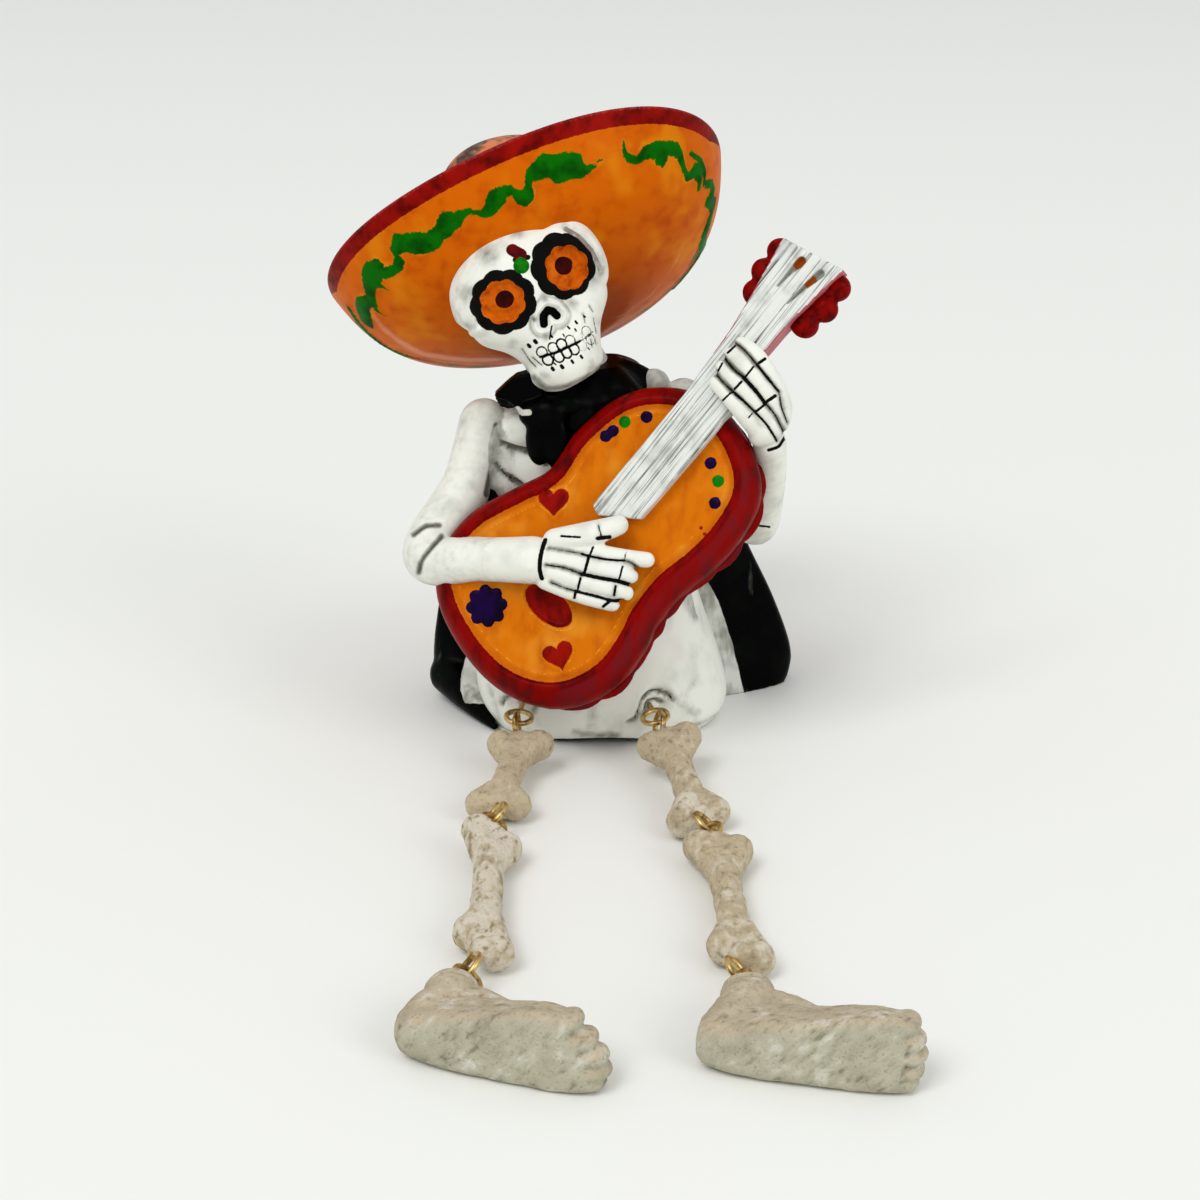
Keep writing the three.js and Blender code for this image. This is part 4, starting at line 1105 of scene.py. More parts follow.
# Guitar.
# A hollow-looking body cast solid: an orange face set a little below a rounded dark
# red rim, over a frilled back. The ornaments on the face stand up and are painted.
GUITAR_PLACE = Vector((1.3, -27.5, 46.5))
GUITAR_NECK = Vector((0.618, 0.142, 0.773)).normalized()
GUITAR_FACE = Vector((-0.235, -0.905, 0.354)).normalized()
GUITAR_ACROSS = GUITAR_NECK.cross(GUITAR_FACE).normalized()
FACE_OUTLINE = [
    (-5.6, 25.9), (-11.4, 20.2), (-13.8, 10.7), (-13.4, 1.5), (-16.8, -6.4), (-20.2, -14.5),
    (-20.2, -22.0), (-16.8, -27.4), (-9.7, -30.9), (-1.2, -32.4), (6.0, -30.9), (11.4, -26.8),
    (14.3, -20.0), (14.1, -13.2), (13.0, -8.0), (12.9, -0.5), (14.4, 6.5), (15.1, 13.3),
    (13.8, 20.8), (9.2, 25.1), (1.5, 27.6),
]
GUITAR_RINGS = [
    # depth, how far it grows past the face, its lean, its frill
    (-10.4, 2.6, 1.0, 0.9),
    (-8.4, 3.6, 1.0, 0.9),
    (-7.6, 3.4, 0.9, 0.0),
    (-4.0, 4.1, 0.5, 0.0),
    (-1.4, 3.1, 0.2, 0.0),
    (0.2, 1.2, 0.0, 0.0),
    (0.1, 0.2, 0.0, 0.0),
    (-0.6, 0.0, 0.0, 0.0),
]
BACK_LEAN = (1.3, -1.0)
OUTLINE_STEPS, FRILL_LOBES = 264, 22
GUITAR_GRAIN = 0.38
HEARTS = [((-11.8, -2.0), 3.0, 40), ((7.3, -23.7), 3.0, 57)]
FLOWER_PLACE, FLOWER_REACH, FLOWER_SCALLOP, FLOWER_PETALS = (-9.4, -25.5), 3.7, 0.4, 8
SOUND_HOLE_PLACE, SOUND_HOLE_HALF = (-0.1, -17.8), (5.4, 3.0)
PURPLE_DOTS = [[(-11.7, 13.6)], [(-11.2, 15.2)], [(-7.8, 21.2)], [(7.1, 22.1)], [(12.4, 16.9)]]
GREEN_DOTS = [[(-10.5, 17.9)], [(10.3, 20.4)]]
RED_SPECKS = [[(13.3, 11.7)], [(14.6, 11.3)]]
DOT_RADIUS, SPECK_RADIUS = 1.15, 0.4
GUITAR_ORANGE, GUITAR_RUST, GUITAR_AMBER = (212, 112, 5), (180, 78, 4), (236, 164, 50)
GUITAR_RED, GUITAR_WINE, GUITAR_ROSE = (130, 4, 2), (76, 2, 3), (182, 56, 70)
HEART_RED, HEART_DARK = (150, 14, 5), (92, 5, 4)
NAVY, NAVY_DARK = (26, 5, 56), (12, 3, 28)


def closed_through(points, count):
    """Places along a smooth closed line through points."""
    ring = [*points[-1:], *points, *points[:2]]
    share = len(points) / (len(ring) - 1)
    return np.array([through(ring, 1 / (len(ring) - 1) + k / count * share) for k in range(count)])


def inside(spots, outline):
    """How far inside a closed outline each spot is, below 0 outside."""
    gap = distance(spots, [*outline, outline[0]])
    within = np.zeros(len(spots), bool)
    for (ax, ay), (bx, by) in zip(outline, [*outline[1:], outline[0]]):
        straddles = (ay > spots[:, 1]) != (by > spots[:, 1])
        rise = by - ay if abs(by - ay) > 1e-9 else 1e-9
        cross = ax + (spots[:, 1] - ay) * (bx - ax) / rise
        within ^= straddles & (spots[:, 0] < cross)
    return np.where(within, gap, -gap)


def heart_outline(place, size, turn):
    """A heart with its point down, turned by some degrees."""
    lean = Matrix.Rotation(math.radians(turn), 2)
    points = []
    for k in range(40):
        a = k / 40 * 2 * math.pi
        x = 16 * math.sin(a) ** 3
        y = 13 * math.cos(a) - 5 * math.cos(2 * a) - 2 * math.cos(3 * a) - math.cos(4 * a)
        points.append(tuple(Vector(place) + lean @ Vector((x, y)) * (size / 16)))
    return points


guitar_turn = Matrix((GUITAR_ACROSS, GUITAR_NECK, GUITAR_FACE)).transposed().to_4x4()
guitar_place = Matrix.Translation(GUITAR_PLACE) @ guitar_turn
face_line = closed_through(FACE_OUTLINE, OUTLINE_STEPS)
face_way = np.roll(face_line, -1, 0) - np.roll(face_line, 1, 0)
face_way /= np.linalg.norm(face_way, axis=1)[:, None]


def guitar_skin(t, angle):
    w, grow, lean, frill = through(GUITAR_RINGS, t)
    k = round(angle / (2 * math.pi) * OUTLINE_STEPS) % OUTLINE_STEPS
    lobe = abs(math.sin(k / OUTLINE_STEPS * FRILL_LOBES * math.pi)) ** 0.7
    grow += max(frill, 0) * lobe * (0.65 + 0.35 * math.sin(k * 0.11 + math.sin(k * 0.037) * 3))
    return (
        face_line[k][0] + face_way[k][1] * grow + BACK_LEAN[0] * lean,
        face_line[k][1] - face_way[k][0] * grow + BACK_LEAN[1] * lean,
        w,
    )


def guitar_axis(t):
    return 0, -4, through(GUITAR_RINGS, t)[0]


guitar = fuse("guitar_body", [
    ringed("guitar_body", guitar_skin, guitar_axis, OUTLINE_STEPS, 90, 14),
], GUITAR_GRAIN, 3)
spots, out = surface(guitar)
plane = spots[:, :2]
on_face = (spots[:, 2] > -2.2) & (out[:, 2] > 0.2)
face = inside(plane, [tuple(p) for p in face_line[::2]])
hearts = np.max([inside(plane, heart_outline(*heart)) for heart in HEARTS], 0)
hole = 1 - np.hypot(*((plane - SOUND_HOLE_PLACE) / SOUND_HOLE_HALF).T)
hole *= SOUND_HOLE_HALF[1]
flower = petals(plane, FLOWER_PLACE, FLOWER_REACH, FLOWER_SCALLOP, FLOWER_PETALS)
purple = DOT_RADIUS - distance(plane, *PURPLE_DOTS)
green = DOT_RADIUS - distance(plane, *GREEN_DOTS)
specks = SPECK_RADIUS - distance(plane, *RED_SPECKS)
raised = (
    soft(hearts + 0.3, 0.35) * 0.32
    + np.clip(hearts / 0.5, 0, 1) * 0.25
    + soft(hole + 0.3, 0.4) * 0.3
    - np.clip(hole / 0.4, 0, 1) * 0.7
    + np.clip(flower / 0.5, 0, 1) * 0.3
    + np.clip(purple / 0.5, 0, 1) * 0.3
    + np.clip(green / 0.5, 0, 1) * 0.2
    + soft(face - 1.6, 0.4) * 0.22
)
shift(guitar, spots + out * (raised * on_face)[:, None])
off = np.where(on_face, 0.0, -9.0)
glint = np.max([soft(hearts + 0.35, 0.22), soft(face - 1.7, 0.25), soft(hole + 0.4, 0.25)], 0)
rim = np.clip(-face / 1.5, 0, 1) * np.clip(out[:, 2], 0, 1)
for key, values in {
    "orange": np.minimum(face - 0.15, 9) + off,
    "hearts": np.max([hearts, hole, specks], 0) + off,
    "navy": np.maximum(flower, purple) + off,
    "green": green + off,
    "glint": glint * on_face,
    "sheen": rim * np.clip(0.35 + out[:, 0] * 0.9, 0, 1),
    "wash": hollows(guitar, 10, 0.35),
}.items():
    note(guitar, key, values)

guitar_paint = Finish("guitar_paint", 0.33)
strokes = guitar_paint.cloud(2.5, 4.0, (1, 1, 3))
blots = guitar_paint.cloud(8.0, 2.0)
fine = guitar_paint.cloud(0.6, 3.0)
ragged = (fine - 0.5) * 0.35
gleam = (guitar_paint.noted("sheen") + (strokes - 0.5) * 1.2).above(0.45, 1.0)
deep = guitar_paint.noted("wash").above(0.1, 0.8)
glint = (guitar_paint.noted("glint") * fine).above(0.3, 0.6)
orange = guitar_paint.over(
    GUITAR_ORANGE,
    (GUITAR_RUST, strokes.above(0.42, 0.78) * 0.7),
    (GUITAR_AMBER, blots.above(0.5, 0.75) * 0.4),
    (GUITAR_AMBER, glint * 0.8),
    (GUITAR_RUST, deep * 0.8),
)
ground = guitar_paint.over(
    GUITAR_RED,
    (GUITAR_WINE, strokes.above(0.4, 0.75)),
    (GUITAR_ROSE, gleam * 0.2),
    (GUITAR_WINE, deep * 0.8),
    (orange, (guitar_paint.noted("orange") + ragged).above(-0.06, 0.06)),
)
for coat, shade, dark in (
    ("hearts", HEART_RED, HEART_DARK), ("navy", NAVY, NAVY_DARK), ("green", LEAF_GREEN, LEAF_DARK),
):
    shade = guitar_paint.over(shade, (dark, strokes.above(0.4, 0.7)))
    mask = (guitar_paint.noted(coat) + ragged).above(-0.06, 0.06)
    ground = guitar_paint.over(ground, (shade, mask))
guitar_paint.paint(
    Base_Color=ground,
    Roughness=0.22 + strokes * 0.25,
    Normal=guitar_paint.bumps(strokes * 0.5 + fine * 0.3, 0.12),
)
guitar.data.transform(guitar_place)
settle(guitar, guitar_paint.material)

# Guitar neck and head.
# One flat board with strings scratched along it, painted silver white, that widens
# into a head with two slots and three dark red tuning knobs at each side.
BOARD_OUTLINE = [
    (-5.0, 2.4), (-3.0, 1.4), (3.8, 6.0), (4.6, 28.0), (2.5, 44.0), (2.9, 52.0),
    (4.6, 64.6), (-8.1, 62.4), (-6.0, 50.2), (-5.1, 43.0), (-4.4, 28.8),
]
BOARD_BOTTOM, BOARD_TOP = -4.0, 2.2
BOARD_GRAIN = 0.28
STRING_PITCH, STRING_DEPTH = 1.1, 0.16
SLOTS = [
    # across the head, up it, half width
    [(-2.6, 61.2, 0.85), (-2.7, 60.3, 0.85), (-3.0, 58.6, 0.5), (-3.2, 55.0, 0.25)],
    [(1.6, 61.4, 0.85), (1.4, 60.5, 0.8), (0.9, 58.0, 0.5), (0.2, 53.6, 0.25)],
]
SLOT_HEADS = [[(-2.6, 60.6)], [(1.0, 59.2)]]
SIDE_FROM = 38.0
KNOBS = [(-7.4, 60.2), (-7.4, 55.6), (-6.2, 51.6), (4.8, 61.4), (5.4, 57.0), (4.4, 52.6)]
KNOB_BARS = [(-6.4, 56.0), (4.0, 57.0)]
KNOB_RADIUS, KNOB_GRAIN = 2.8, 0.25
SILVER, SILVER_SHADE, STRING_DARK = (226, 229, 224), (176, 179, 174), (58, 60, 56)
SLOT_RUST, SLOT_GREY = (150, 70, 12), (132, 134, 126)

board = slab("guitar_neck", BOARD_OUTLINE, BOARD_BOTTOM, BOARD_TOP)
board = fuse("guitar_neck", [board], BOARD_GRAIN, 3)
spots, out = surface(board)
plane = spots[:, :2]
top = np.clip(out[:, 2] * 2 - 0.6, 0, 1)
lines = 0.5 - 0.5 * np.cos(plane[:, 0] / STRING_PITCH * 2 * np.pi)
slot = swelling(plane, *SLOTS)
shift(board, spots - out * (top * (lines * STRING_DEPTH + np.clip(slot / 0.35, 0, 1)))[:, None])
note(board, "slots", np.where(top > 0.3, slot, -3.0))
note(board, "rust", np.where(slot > -0.1, 1.5 - distance(plane, *SLOT_HEADS), -3.0))
note(board, "side", (np.abs(out[:, 0]) > 0.55) & (plane[:, 1] > SIDE_FROM))

silver_paint = Finish("silver_paint", 0.38)
along_neck = tuple(guitar_turn.to_euler())
scratch = silver_paint.cloud(0.36, 2.0, (1, 60, 1), along_neck)
strings = silver_paint.cloud(0.7, 1.0, (1, 60, 1), along_neck)
patches = silver_paint.cloud(1.2, 3.0, (1, 3, 1), along_neck)
blots = silver_paint.cloud(4.0, 3.0)
dark = (0.48 - scratch).above(0.0, 0.12) * 0.55 + (0.43 - strings).above(0.0, 0.06) * 0.55
slots = silver_paint.noted("slots").above(-0.1, 0.15)
rust = (silver_paint.noted("rust") + (scratch - 0.5)).above(0.0, 0.4)
side = (silver_paint.noted("side") + (patches - 0.5) * 0.6).above(0.5, 0.8)
ground = silver_paint.over(
    SILVER,
    (SILVER_SHADE, blots.above(0.45, 0.8) * 0.7),
    (STRING_DARK, dark * (patches.above(0.3, 0.5) * 0.6 + 0.4)),
    (SLOT_GREY, slots * 0.8),
    (SLOT_RUST, rust * slots),
    (GUITAR_ROSE, side * 0.85),
)
silver_paint.paint(
    Base_Color=ground,
    Roughness=0.3 + blots * 0.15,
    Normal=silver_paint.bumps(scratch, 0.1),
)
board.data.transform(guitar_place)
settle(board, silver_paint.material)

knobs = fuse("tuning_knobs", [
    *[ball((u, v, -1.6), (KNOB_RADIUS, KNOB_RADIUS * 0.92, 2.1)) for u, v in KNOBS],
    *[ball((u, v, -1.8), (2.2, 6.6, 1.9)) for u, v in KNOB_BARS],
], KNOB_GRAIN, 6)
knob_paint = Finish("knob_paint", 0.3)
strokes = knob_paint.cloud(1.5, 4.0)
knob_paint.paint(
    Base_Color=knob_paint.over(GUITAR_RED, (GUITAR_WINE, strokes.above(0.4, 0.7))),
    Roughness=0.25 + strokes * 0.2,
    Normal=knob_paint.bumps(strokes, 0.12),
)
knobs.data.transform(guitar_place)
settle(knobs, knob_paint.material)

# Arms and hands.
# Bone arms cast with the figure. The near one lies over the guitar and strums, the
# far one holds the neck. Black lines are painted between the fingers and joints, and
# painted shade darkens the undersides and the armpit.
LEFT_ARM = [
    # place and thickness at the shoulder, upper arm, elbow, forearm and wrist
    (-22.6, -0.8, 59.8, 4.9),
    (-25.8, -8.0, 49.4, 4.9),
    (-32.8, -17.8, 38.6, 5.0),
    (-22.4, -24.0, 39.9, 4.2),
    (-12.4, -29.4, 41.6, 4.5),
]
RIGHT_ARM = [
    (16.6, 1.5, 61.6, 5.0),
    (24.6, -1.5, 51.0, 4.2),
    (30.2, -6.5, 40.8, 4.0),
    (32.2, -13.5, 51.0, 3.2),
    (31.6, -21.5, 62.0, 3.2),
]
STRUMMING_FINGERS = [
    # each finger in the guitar's frame: across, up the neck, out of the face, radius
    [(-5.6, -8.2, 3.2, 2.2), (1.0, -4.3, 4.0, 1.8), (6.2, -1.2, 3.2, 1.6), (9.6, 1.0, 2.0, 1.5)],
    [(-4.8, -10.4, 3.4, 2.0), (1.8, -6.9, 4.2, 1.7), (7.0, -4.1, 3.2, 1.6), (9.1, -3.2, 2.2, 1.5)],
    [(-3.8, -12.4, 3.4, 2.0), (2.8, -9.6, 4.2, 1.7), (8.2, -7.2, 3.2, 1.6), (10.4, -6.2, 2.2, 1.5)],
    [(-2.8, -14.0, 3.0, 1.8), (3.6, -12.0, 3.8, 1.6), (8.4, -10.0, 3.0, 1.5), (9.8, -9.4, 2.2, 1.4)],
    [(-6.0, -7.0, 3.8, 2.2), (-1.4, -1.9, 4.6, 2.4), (1.6, 2.7, 3.2, 1.9)],
]
FRETTING_FINGERS = [
    [(10.8, 38.4, -3.0, 1.7), (8.0, 40.6, 1.0, 1.7), (2.4, 42.6, 3.7, 1.7), (-1.6, 42.6, 2.4, 1.5)],
    [(11.6, 35.8, -3.2, 1.7), (8.4, 38.0, 1.4, 1.7), (2.6, 39.8, 3.9, 1.7), (-1.8, 40.0, 2.6, 1.5)],
    [(11.8, 33.4, -4.0, 1.7), (8.4, 35.2, 1.2, 1.7), (3.0, 36.8, 3.9, 1.7), (-1.6, 37.2, 2.6, 1.5)],
    [(11.2, 31.4, -5.0, 1.6), (7.8, 32.6, 0.6, 1.6), (3.2, 33.8, 3.4, 1.6), (-0.8, 34.4, 2.4, 1.5)],
]
STRUMMING_PALM = ((-4.2, -11.0, 1.6), (4.6, 4.8, 3.2))
FRETTING_PALM = ((10.6, 34.6, -3.4), (3.2, 5.2, 3.6))
STRUMMING_GAPS = [
    # the places, half width of the black line, strength of the olive wash round it
    ([(-9.5, -30.5, 44.3), (-6.5, -31.6, 44.2), (-3.4, -32.5, 43.9)], 0.1, 0.8),
    ([(-3.4, -32.5, 43.9), (-1.9, -33, 43.6), (1.4, -34, 43.3), (4.5, -34.1, 43.1)], 0.24, 0.5),
    ([(4.5, -34.1, 43.1), (5.8, -33.0, 42.2), (7.4, -33.0, 40.8)], 0.14, 0.8),
    ([(-9.9, -32.1, 41.6), (-6.5, -32.7, 41.2), (-3.4, -33.4, 40.3)], 0.14, 0.85),
    ([(-3.4, -33.4, 40.3), (-0.1, -34.1, 39.8), (3.2, -33.4, 38.9), (5.4, -32.8, 38)], 0.3, 0.5),
    ([(-9.1, -33, 38.5), (-6.8, -34, 37.9), (-4.5, -34.9, 37.5)], 0.14, 0.85),
    ([(-4.5, -34.9, 37.5), (-2.2, -35.7, 37.2), (0.4, -35.8, 36.5), (2.5, -35.7, 35.9),
      (4.3, -34.4, 35.4)], 0.28, 0.6),
    ([(-7.2, -30.7, 46.8), (-3.7, -32.3, 47.1)], 0.22, 0.3),
    ([(-0.4, -31.6, 46.6), (1.8, -31.6, 46.8)], 0.4, 0.6),
    ([(-10.3, -26.7, 44.6), (-10.9, -32.7, 43.7), (-11.1, -33.3, 41.2), (-10.8, -31.7, 38.8)],
     0.42, 0.3),
]
STRUMMING_JOINTS = [
    ([(-1.3, -30.1, 44.4), (-1.9, -33, 43.8)], 0.22, 0.2),
    ([(-2.1, -33, 43.4), (-2.9, -33.9, 40.7)], 0.3, 0.2),
    ([(-3.6, -34.5, 40), (-4.1, -34.4, 37.8)], 0.24, 0.4),
    ([(-4.5, -34.8, 37.6), (-4.8, -33.1, 35.4)], 0.26, 0.4),
    ([(4.8, -33.3, 44.6), (4.5, -34.1, 43.5)], 0.12, 0.2),
    ([(4.2, -33.4, 41.8), (3.5, -34.9, 39.7)], 0.2, 0.2),
    ([(2.9, -35.3, 38.7), (2.6, -35.8, 36.9)], 0.24, 0.5),
    ([(1.8, -36, 35.9), (0.6, -34.4, 34.2)], 0.3, 0.3),
    ([(-0.3, -31.4, 49.2), (0, -32.6, 48.4), (0.4, -32.5, 47.1)], 0.16, 0.5),
]
FRETTING_GAPS = [
    ([(24.6, -22.8, 81.4), (26.1, -24.8, 80.6), (28.5, -26.4, 78.2)], 0.15, 1.0),
    ([(28.5, -26.4, 78.2), (30.2, -27.4, 76.3), (32.7, -26.4, 73.1)], 0.24, 0.8),
    ([(22.4, -22.7, 78.9), (24.2, -25, 77.3), (26.1, -26.4, 75.9)], 0.16, 1.0),
    ([(26.1, -26.4, 75.9), (28.3, -27.7, 73.7), (30.1, -27.1, 71.2)], 0.3, 0.7),
    ([(30.1, -27.1, 71.2), (32.1, -26.8, 68.7), (33.9, -26.3, 65.4)], 0.16, 0.9),
    ([(20.7, -23.3, 76.4), (22.3, -25.4, 74.9), (24.2, -26.4, 73.2)], 0.14, 1.0),
    ([(24.2, -26.4, 73.2), (26.4, -28.1, 71.5), (28.3, -27.6, 69.5)], 0.22, 0.8),
    ([(28.3, -27.6, 69.5), (30.5, -27, 67.1), (32.6, -26.1, 63.7)], 0.24, 0.6),
    ([(32.7, -26.4, 73.1), (33.4, -25.7, 70.1), (34.5, -26.1, 67.2)], 0.14, 0.7),
    ([(34.4, -25.7, 64.9), (33.1, -24.8, 62.3), (31.2, -24.1, 61.3)], 0.3, 0.3),
]
FRETTING_JOINTS = [
    ([(24.6, -22.9, 80.9), (23.2, -24.3, 79.9)], 0.22, 0.2),
    ([(22.3, -24.5, 78.1), (21.5, -24.7, 76.6)], 0.2, 0.2),
    ([(30.1, -25.7, 79.2), (28.9, -26.5, 78.6)], 0.3, 0.3),
    ([(28, -26, 77.8), (26.4, -26.7, 76)], 0.2, 0.3),
    ([(25.8, -26.7, 75.2), (24.5, -26.9, 73.8)], 0.24, 0.2),
    ([(23.9, -26.6, 73.1), (22.3, -26.4, 71.4)], 0.2, 0.2),
    ([(32.1, -26.1, 72.3), (30.4, -27.4, 71.5)], 0.32, 0.3),
    ([(30.1, -26.9, 70.8), (28.4, -27.8, 69.7)], 0.24, 0.3),
    ([(27.8, -27.2, 69.2), (27.2, -27.7, 68.6)], 0.14, 0.3),
    ([(30.4, -15.6, 43.6), (32.6, -14.6, 43.0)], 0.2, 0.4),
]
ELBOW_LINES = [
    ([(-35.6, -17.7, 42.6), (-33.3, -18.1, 44.4), (-30.6, -17.7, 44.5)], 0.05, 1.0),
    ([(-30.1, -18.8, 42.7), (-32.1, -22.5, 41.4), (-33.8, -22, 38.9), (-34.6, -20.2, 35.8)],
     0.06, 1.0),
    # no ink, only painted shade where the arm meets the ribs
    (ARMPIT_SHADE_LINE, -0.4, 1.0),
]
PIMPLES = [[(-21.5, -27.9, 43.3)], [(-12.9, -33.4, 41.6)]]
HAND_GRAIN = 0.28
# How much the olive wash greys the arm, and how much painted shade darkens faces that look down.
SLEEVE_WASH, UNDERSIDE_SHADE = 0.27, 0.7
GROOVE_WIDTH, GROOVE_DEPTH = 0.55, 0.4


def arm(name, joints, fingers, palm, lines):
    """An arm and its hand as one skin, with its lines pressed in and inked, and painted shade on its
    underside.
    """
    hand = [*(limb(line, 16, 18) for line in fingers), ball(*palm)]
    for part in hand:
        part.data.transform(guitar_place)
    body = fuse(name, [limb(joints, 36, 60), *hand], HAND_GRAIN, 5)
    spots, out = surface(body)
    ink = np.full(len(spots), -3.0)
    groove = np.zeros(len(spots))
    sleeve = np.clip((9.5 - distance(spots, [joint[:3] for joint in joints[:-1]])) / 4, 0, 1)
    under = np.clip(-0.2 - out[:, 2], 0, 1)
    # Wash in hollows and along the arm, and painted shade on faces that look down.
    wash = np.max([hollows(body) * 0.6, sleeve * SLEEVE_WASH, under * UNDERSIDE_SHADE], 0)
    for line, half, shade in lines:
        gap = drawn(spots, [smooth(line, 12)], 3.2)
        ink = np.maximum(ink, half - gap)
        wash = np.maximum(wash, soft(gap, 0.85) * shade)
        groove = np.maximum(groove, soft(gap, GROOVE_WIDTH) * (max(half, 0) + 0.5 * shade))
    shift(body, spots - out * (groove * GROOVE_DEPTH)[:, None])
    note(body, "ink", ink)
    note(body, "wash", np.clip(wash, 0, 1))
    return body


left_arm = arm(
    "left_arm", LEFT_ARM, STRUMMING_FINGERS, STRUMMING_PALM,
    STRUMMING_GAPS + STRUMMING_JOINTS + ELBOW_LINES,
)
spots, out = surface(left_arm)
shift(left_arm, spots + out * (soft(distance(spots, *PIMPLES), 0.7) * 0.4)[:, None])
settle(left_arm, white)
right_arm = arm(
    "right_arm", RIGHT_ARM, FRETTING_FINGERS, FRETTING_PALM, FRETTING_GAPS + FRETTING_JOINTS,
)
settle(right_arm, white)

# Leg bones.
# Loose bones cast in bare grey resin, each a waisted shaft with round knuckles, a
# little rough from the mould. A screw eye is set into each end.
BONES = {
    "left_thigh_bone": (
        [(-18.6, -33.6, 5.8), (-11.6, -33.3, 5.8)],
        [(-21.7, -54.0, 3.3), (-15.4, -54.6, 3.3)],
    ),
    "left_shin_bone": (
        [(-21.6, -68.2, 5.0), (-16.4, -72.0, 3.3)],
        [(-21.1, -102.2, 3.3), (-16.6, -108.8, 3.2), (-18.5, -110.0, 4.6)],
    ),
    "right_thigh_bone": (
        [(9.8, -34.6, 6.0), (16.4, -32.8, 7.2)],
        [(14.8, -61.4, 3.3), (20.6, -57.6, 3.4)],
    ),
    "right_shin_bone": (
        [(17.3, -71.6, 3.6), (23.9, -73.1, 3.4)],
        [(19.9, -106.7, 3.2), (25.0, -110.5, 3.2), (22.8, -111.6, 4.4)],
    ),
}
KNUCKLE_RADIUS, SHAFT_RADIUS, SMALL_KNUCKLE, FLARE_RADIUS = 2.95, 2.6, 2.2, 2.5
BONE_GRAIN = 0.32
BONE_CHALK = {
    # how chalky the resin is at the top and at the bottom of each bone
    "left_thigh_bone": (0.05, 0.3),
    "left_shin_bone": (0.8, 0.7),
    "right_thigh_bone": (0.25, 0.6),
    "right_shin_bone": (0.3, 0.6),
}
RESIN_WARM, RESIN_PALE, RESIN_DARK = (192, 176, 148), (216, 209, 194), (96, 86, 66)


def bare_resin(name, warm, pale, dark, other, grain):
    """Unpainted cast resin: chalky where it is rough and dark in its hollows."""
    finish = Finish(name, 0.8)
    blots = finish.cloud(5.0, 4.0)
    wrinkles = finish.cloud(1.3, 5.0, *grain)
    pits = finish.cloud(0.5, 3.0)
    chalk = (finish.noted("chalk") + (blots - 0.5) * 1.6 + (wrinkles - 0.5) * 1.8).above(0.4, 0.95)
    cracks = (finish.noted("chalk") * 0.04 + 0.36 - wrinkles).above(0.0, 0.08)
    ground = finish.over(
        warm,
        (other, finish.noted("other")),
        (dark, (0.52 - blots).above(0.0, 0.25) * 0.22),
        (dark, (0.5 - wrinkles).above(0.0, 0.2) * 0.3),
        (pale, chalk * 0.75),
        (dark, cracks * 0.35),
        (dark, (0.42 - pits).above(0.0, 0.1) * 0.3),
        (dark, (finish.noted("wash") + (wrinkles - 0.5) * 0.6).above(0.25, 1.0) * 0.8),
    )
    finish.paint(
        Base_Color=ground,
        Roughness=0.7 + pits * 0.25,
        Normal=finish.bumps(wrinkles * 0.7 + pits * 0.3, 0.6),
    )
    return finish.material


def roughen(body, size, depth, seed):
    """Pushes a skin in and out a little, as a worn mould does."""
    rng = np.random.default_rng(seed)
    spots, out = surface(body)
    push = np.zeros(len(spots))
    for _ in range(14):
        way = rng.normal(size=3)
        way /= np.linalg.norm(way) * size * rng.uniform(0.6, 1.6)
        push += np.sin(spots @ way * 2 * math.pi + rng.uniform(0, 6.3))
    shift(body, spots + out * (push / 7 * depth)[:, None])


resin = bare_resin(
    "bone_resin", RESIN_WARM, RESIN_PALE, RESIN_DARK, RESIN_WARM, ((1, 1.8, 1),),
)
for seed, (bone_name, (top_end, bottom_end)) in enumerate(BONES.items()):
    start = np.mean(top_end[:2], axis=0)
    stop = np.mean(bottom_end[:2], axis=0)
    middle = (start + stop) / 2
    parts = [limb([
        (*start, KNUCKLE_RADIUS), (*middle, SHAFT_RADIUS), (*stop, KNUCKLE_RADIUS),
    ], 32, 40)]
    for place in top_end[:2] + bottom_end[:2]:
        near = start if place in top_end else stop
        inward = near + (middle - near) * 0.55
        parts.append(ball(place, (KNUCKLE_RADIUS,) * 3))
        between = (np.array(place) + inward) / 2
        parts.append(limb([
            (*place, KNUCKLE_RADIUS * 0.97), (*between, FLARE_RADIUS * 1.08), (*inward, FLARE_RADIUS),
        ], 20, 12))
    parts += [ball(place, (SMALL_KNUCKLE,) * 3) for place in bottom_end[2:]]
    bone = fuse(bone_name, parts, BONE_GRAIN, 6)
    bone.name = bone_name + "_skin"
    top_chalk, bottom_chalk = BONE_CHALK[bone_name]
    roughen(bone, 5.0, 0.16, seed)
    roughen(bone, 1.8, 0.04 + 0.1 * bottom_chalk, 40 + seed)
    roughen(bone, 0.9, 0.03 + 0.05 * bottom_chalk, 50 + seed)
    spots, out = surface(bone)
    clefts = [[end[:2], end[:2] * 0.8 + middle[:2] * 0.2] for end in (start, stop)]
    crease = soft(distance(spots[:, :2], *clefts), 1.1) * np.clip(out[:, 2] * 2, 0, 1)
    spots = spots - out * (crease * 0.5)[:, None]
    spots[:, 2] = np.maximum(spots[:, 2], 0.12)
    shift(bone, spots)
    down = np.clip((start[1] - spots[:, 1]) / (start[1] - stop[1]), 0, 1)
    note(bone, "wash", hollows(bone, 14, 0.55))
    note(bone, "chalk", top_chalk + (bottom_chalk - top_chalk) * down)
    note(bone, "other", np.zeros(len(spots)))
    settle(bone, resin, bone_name)

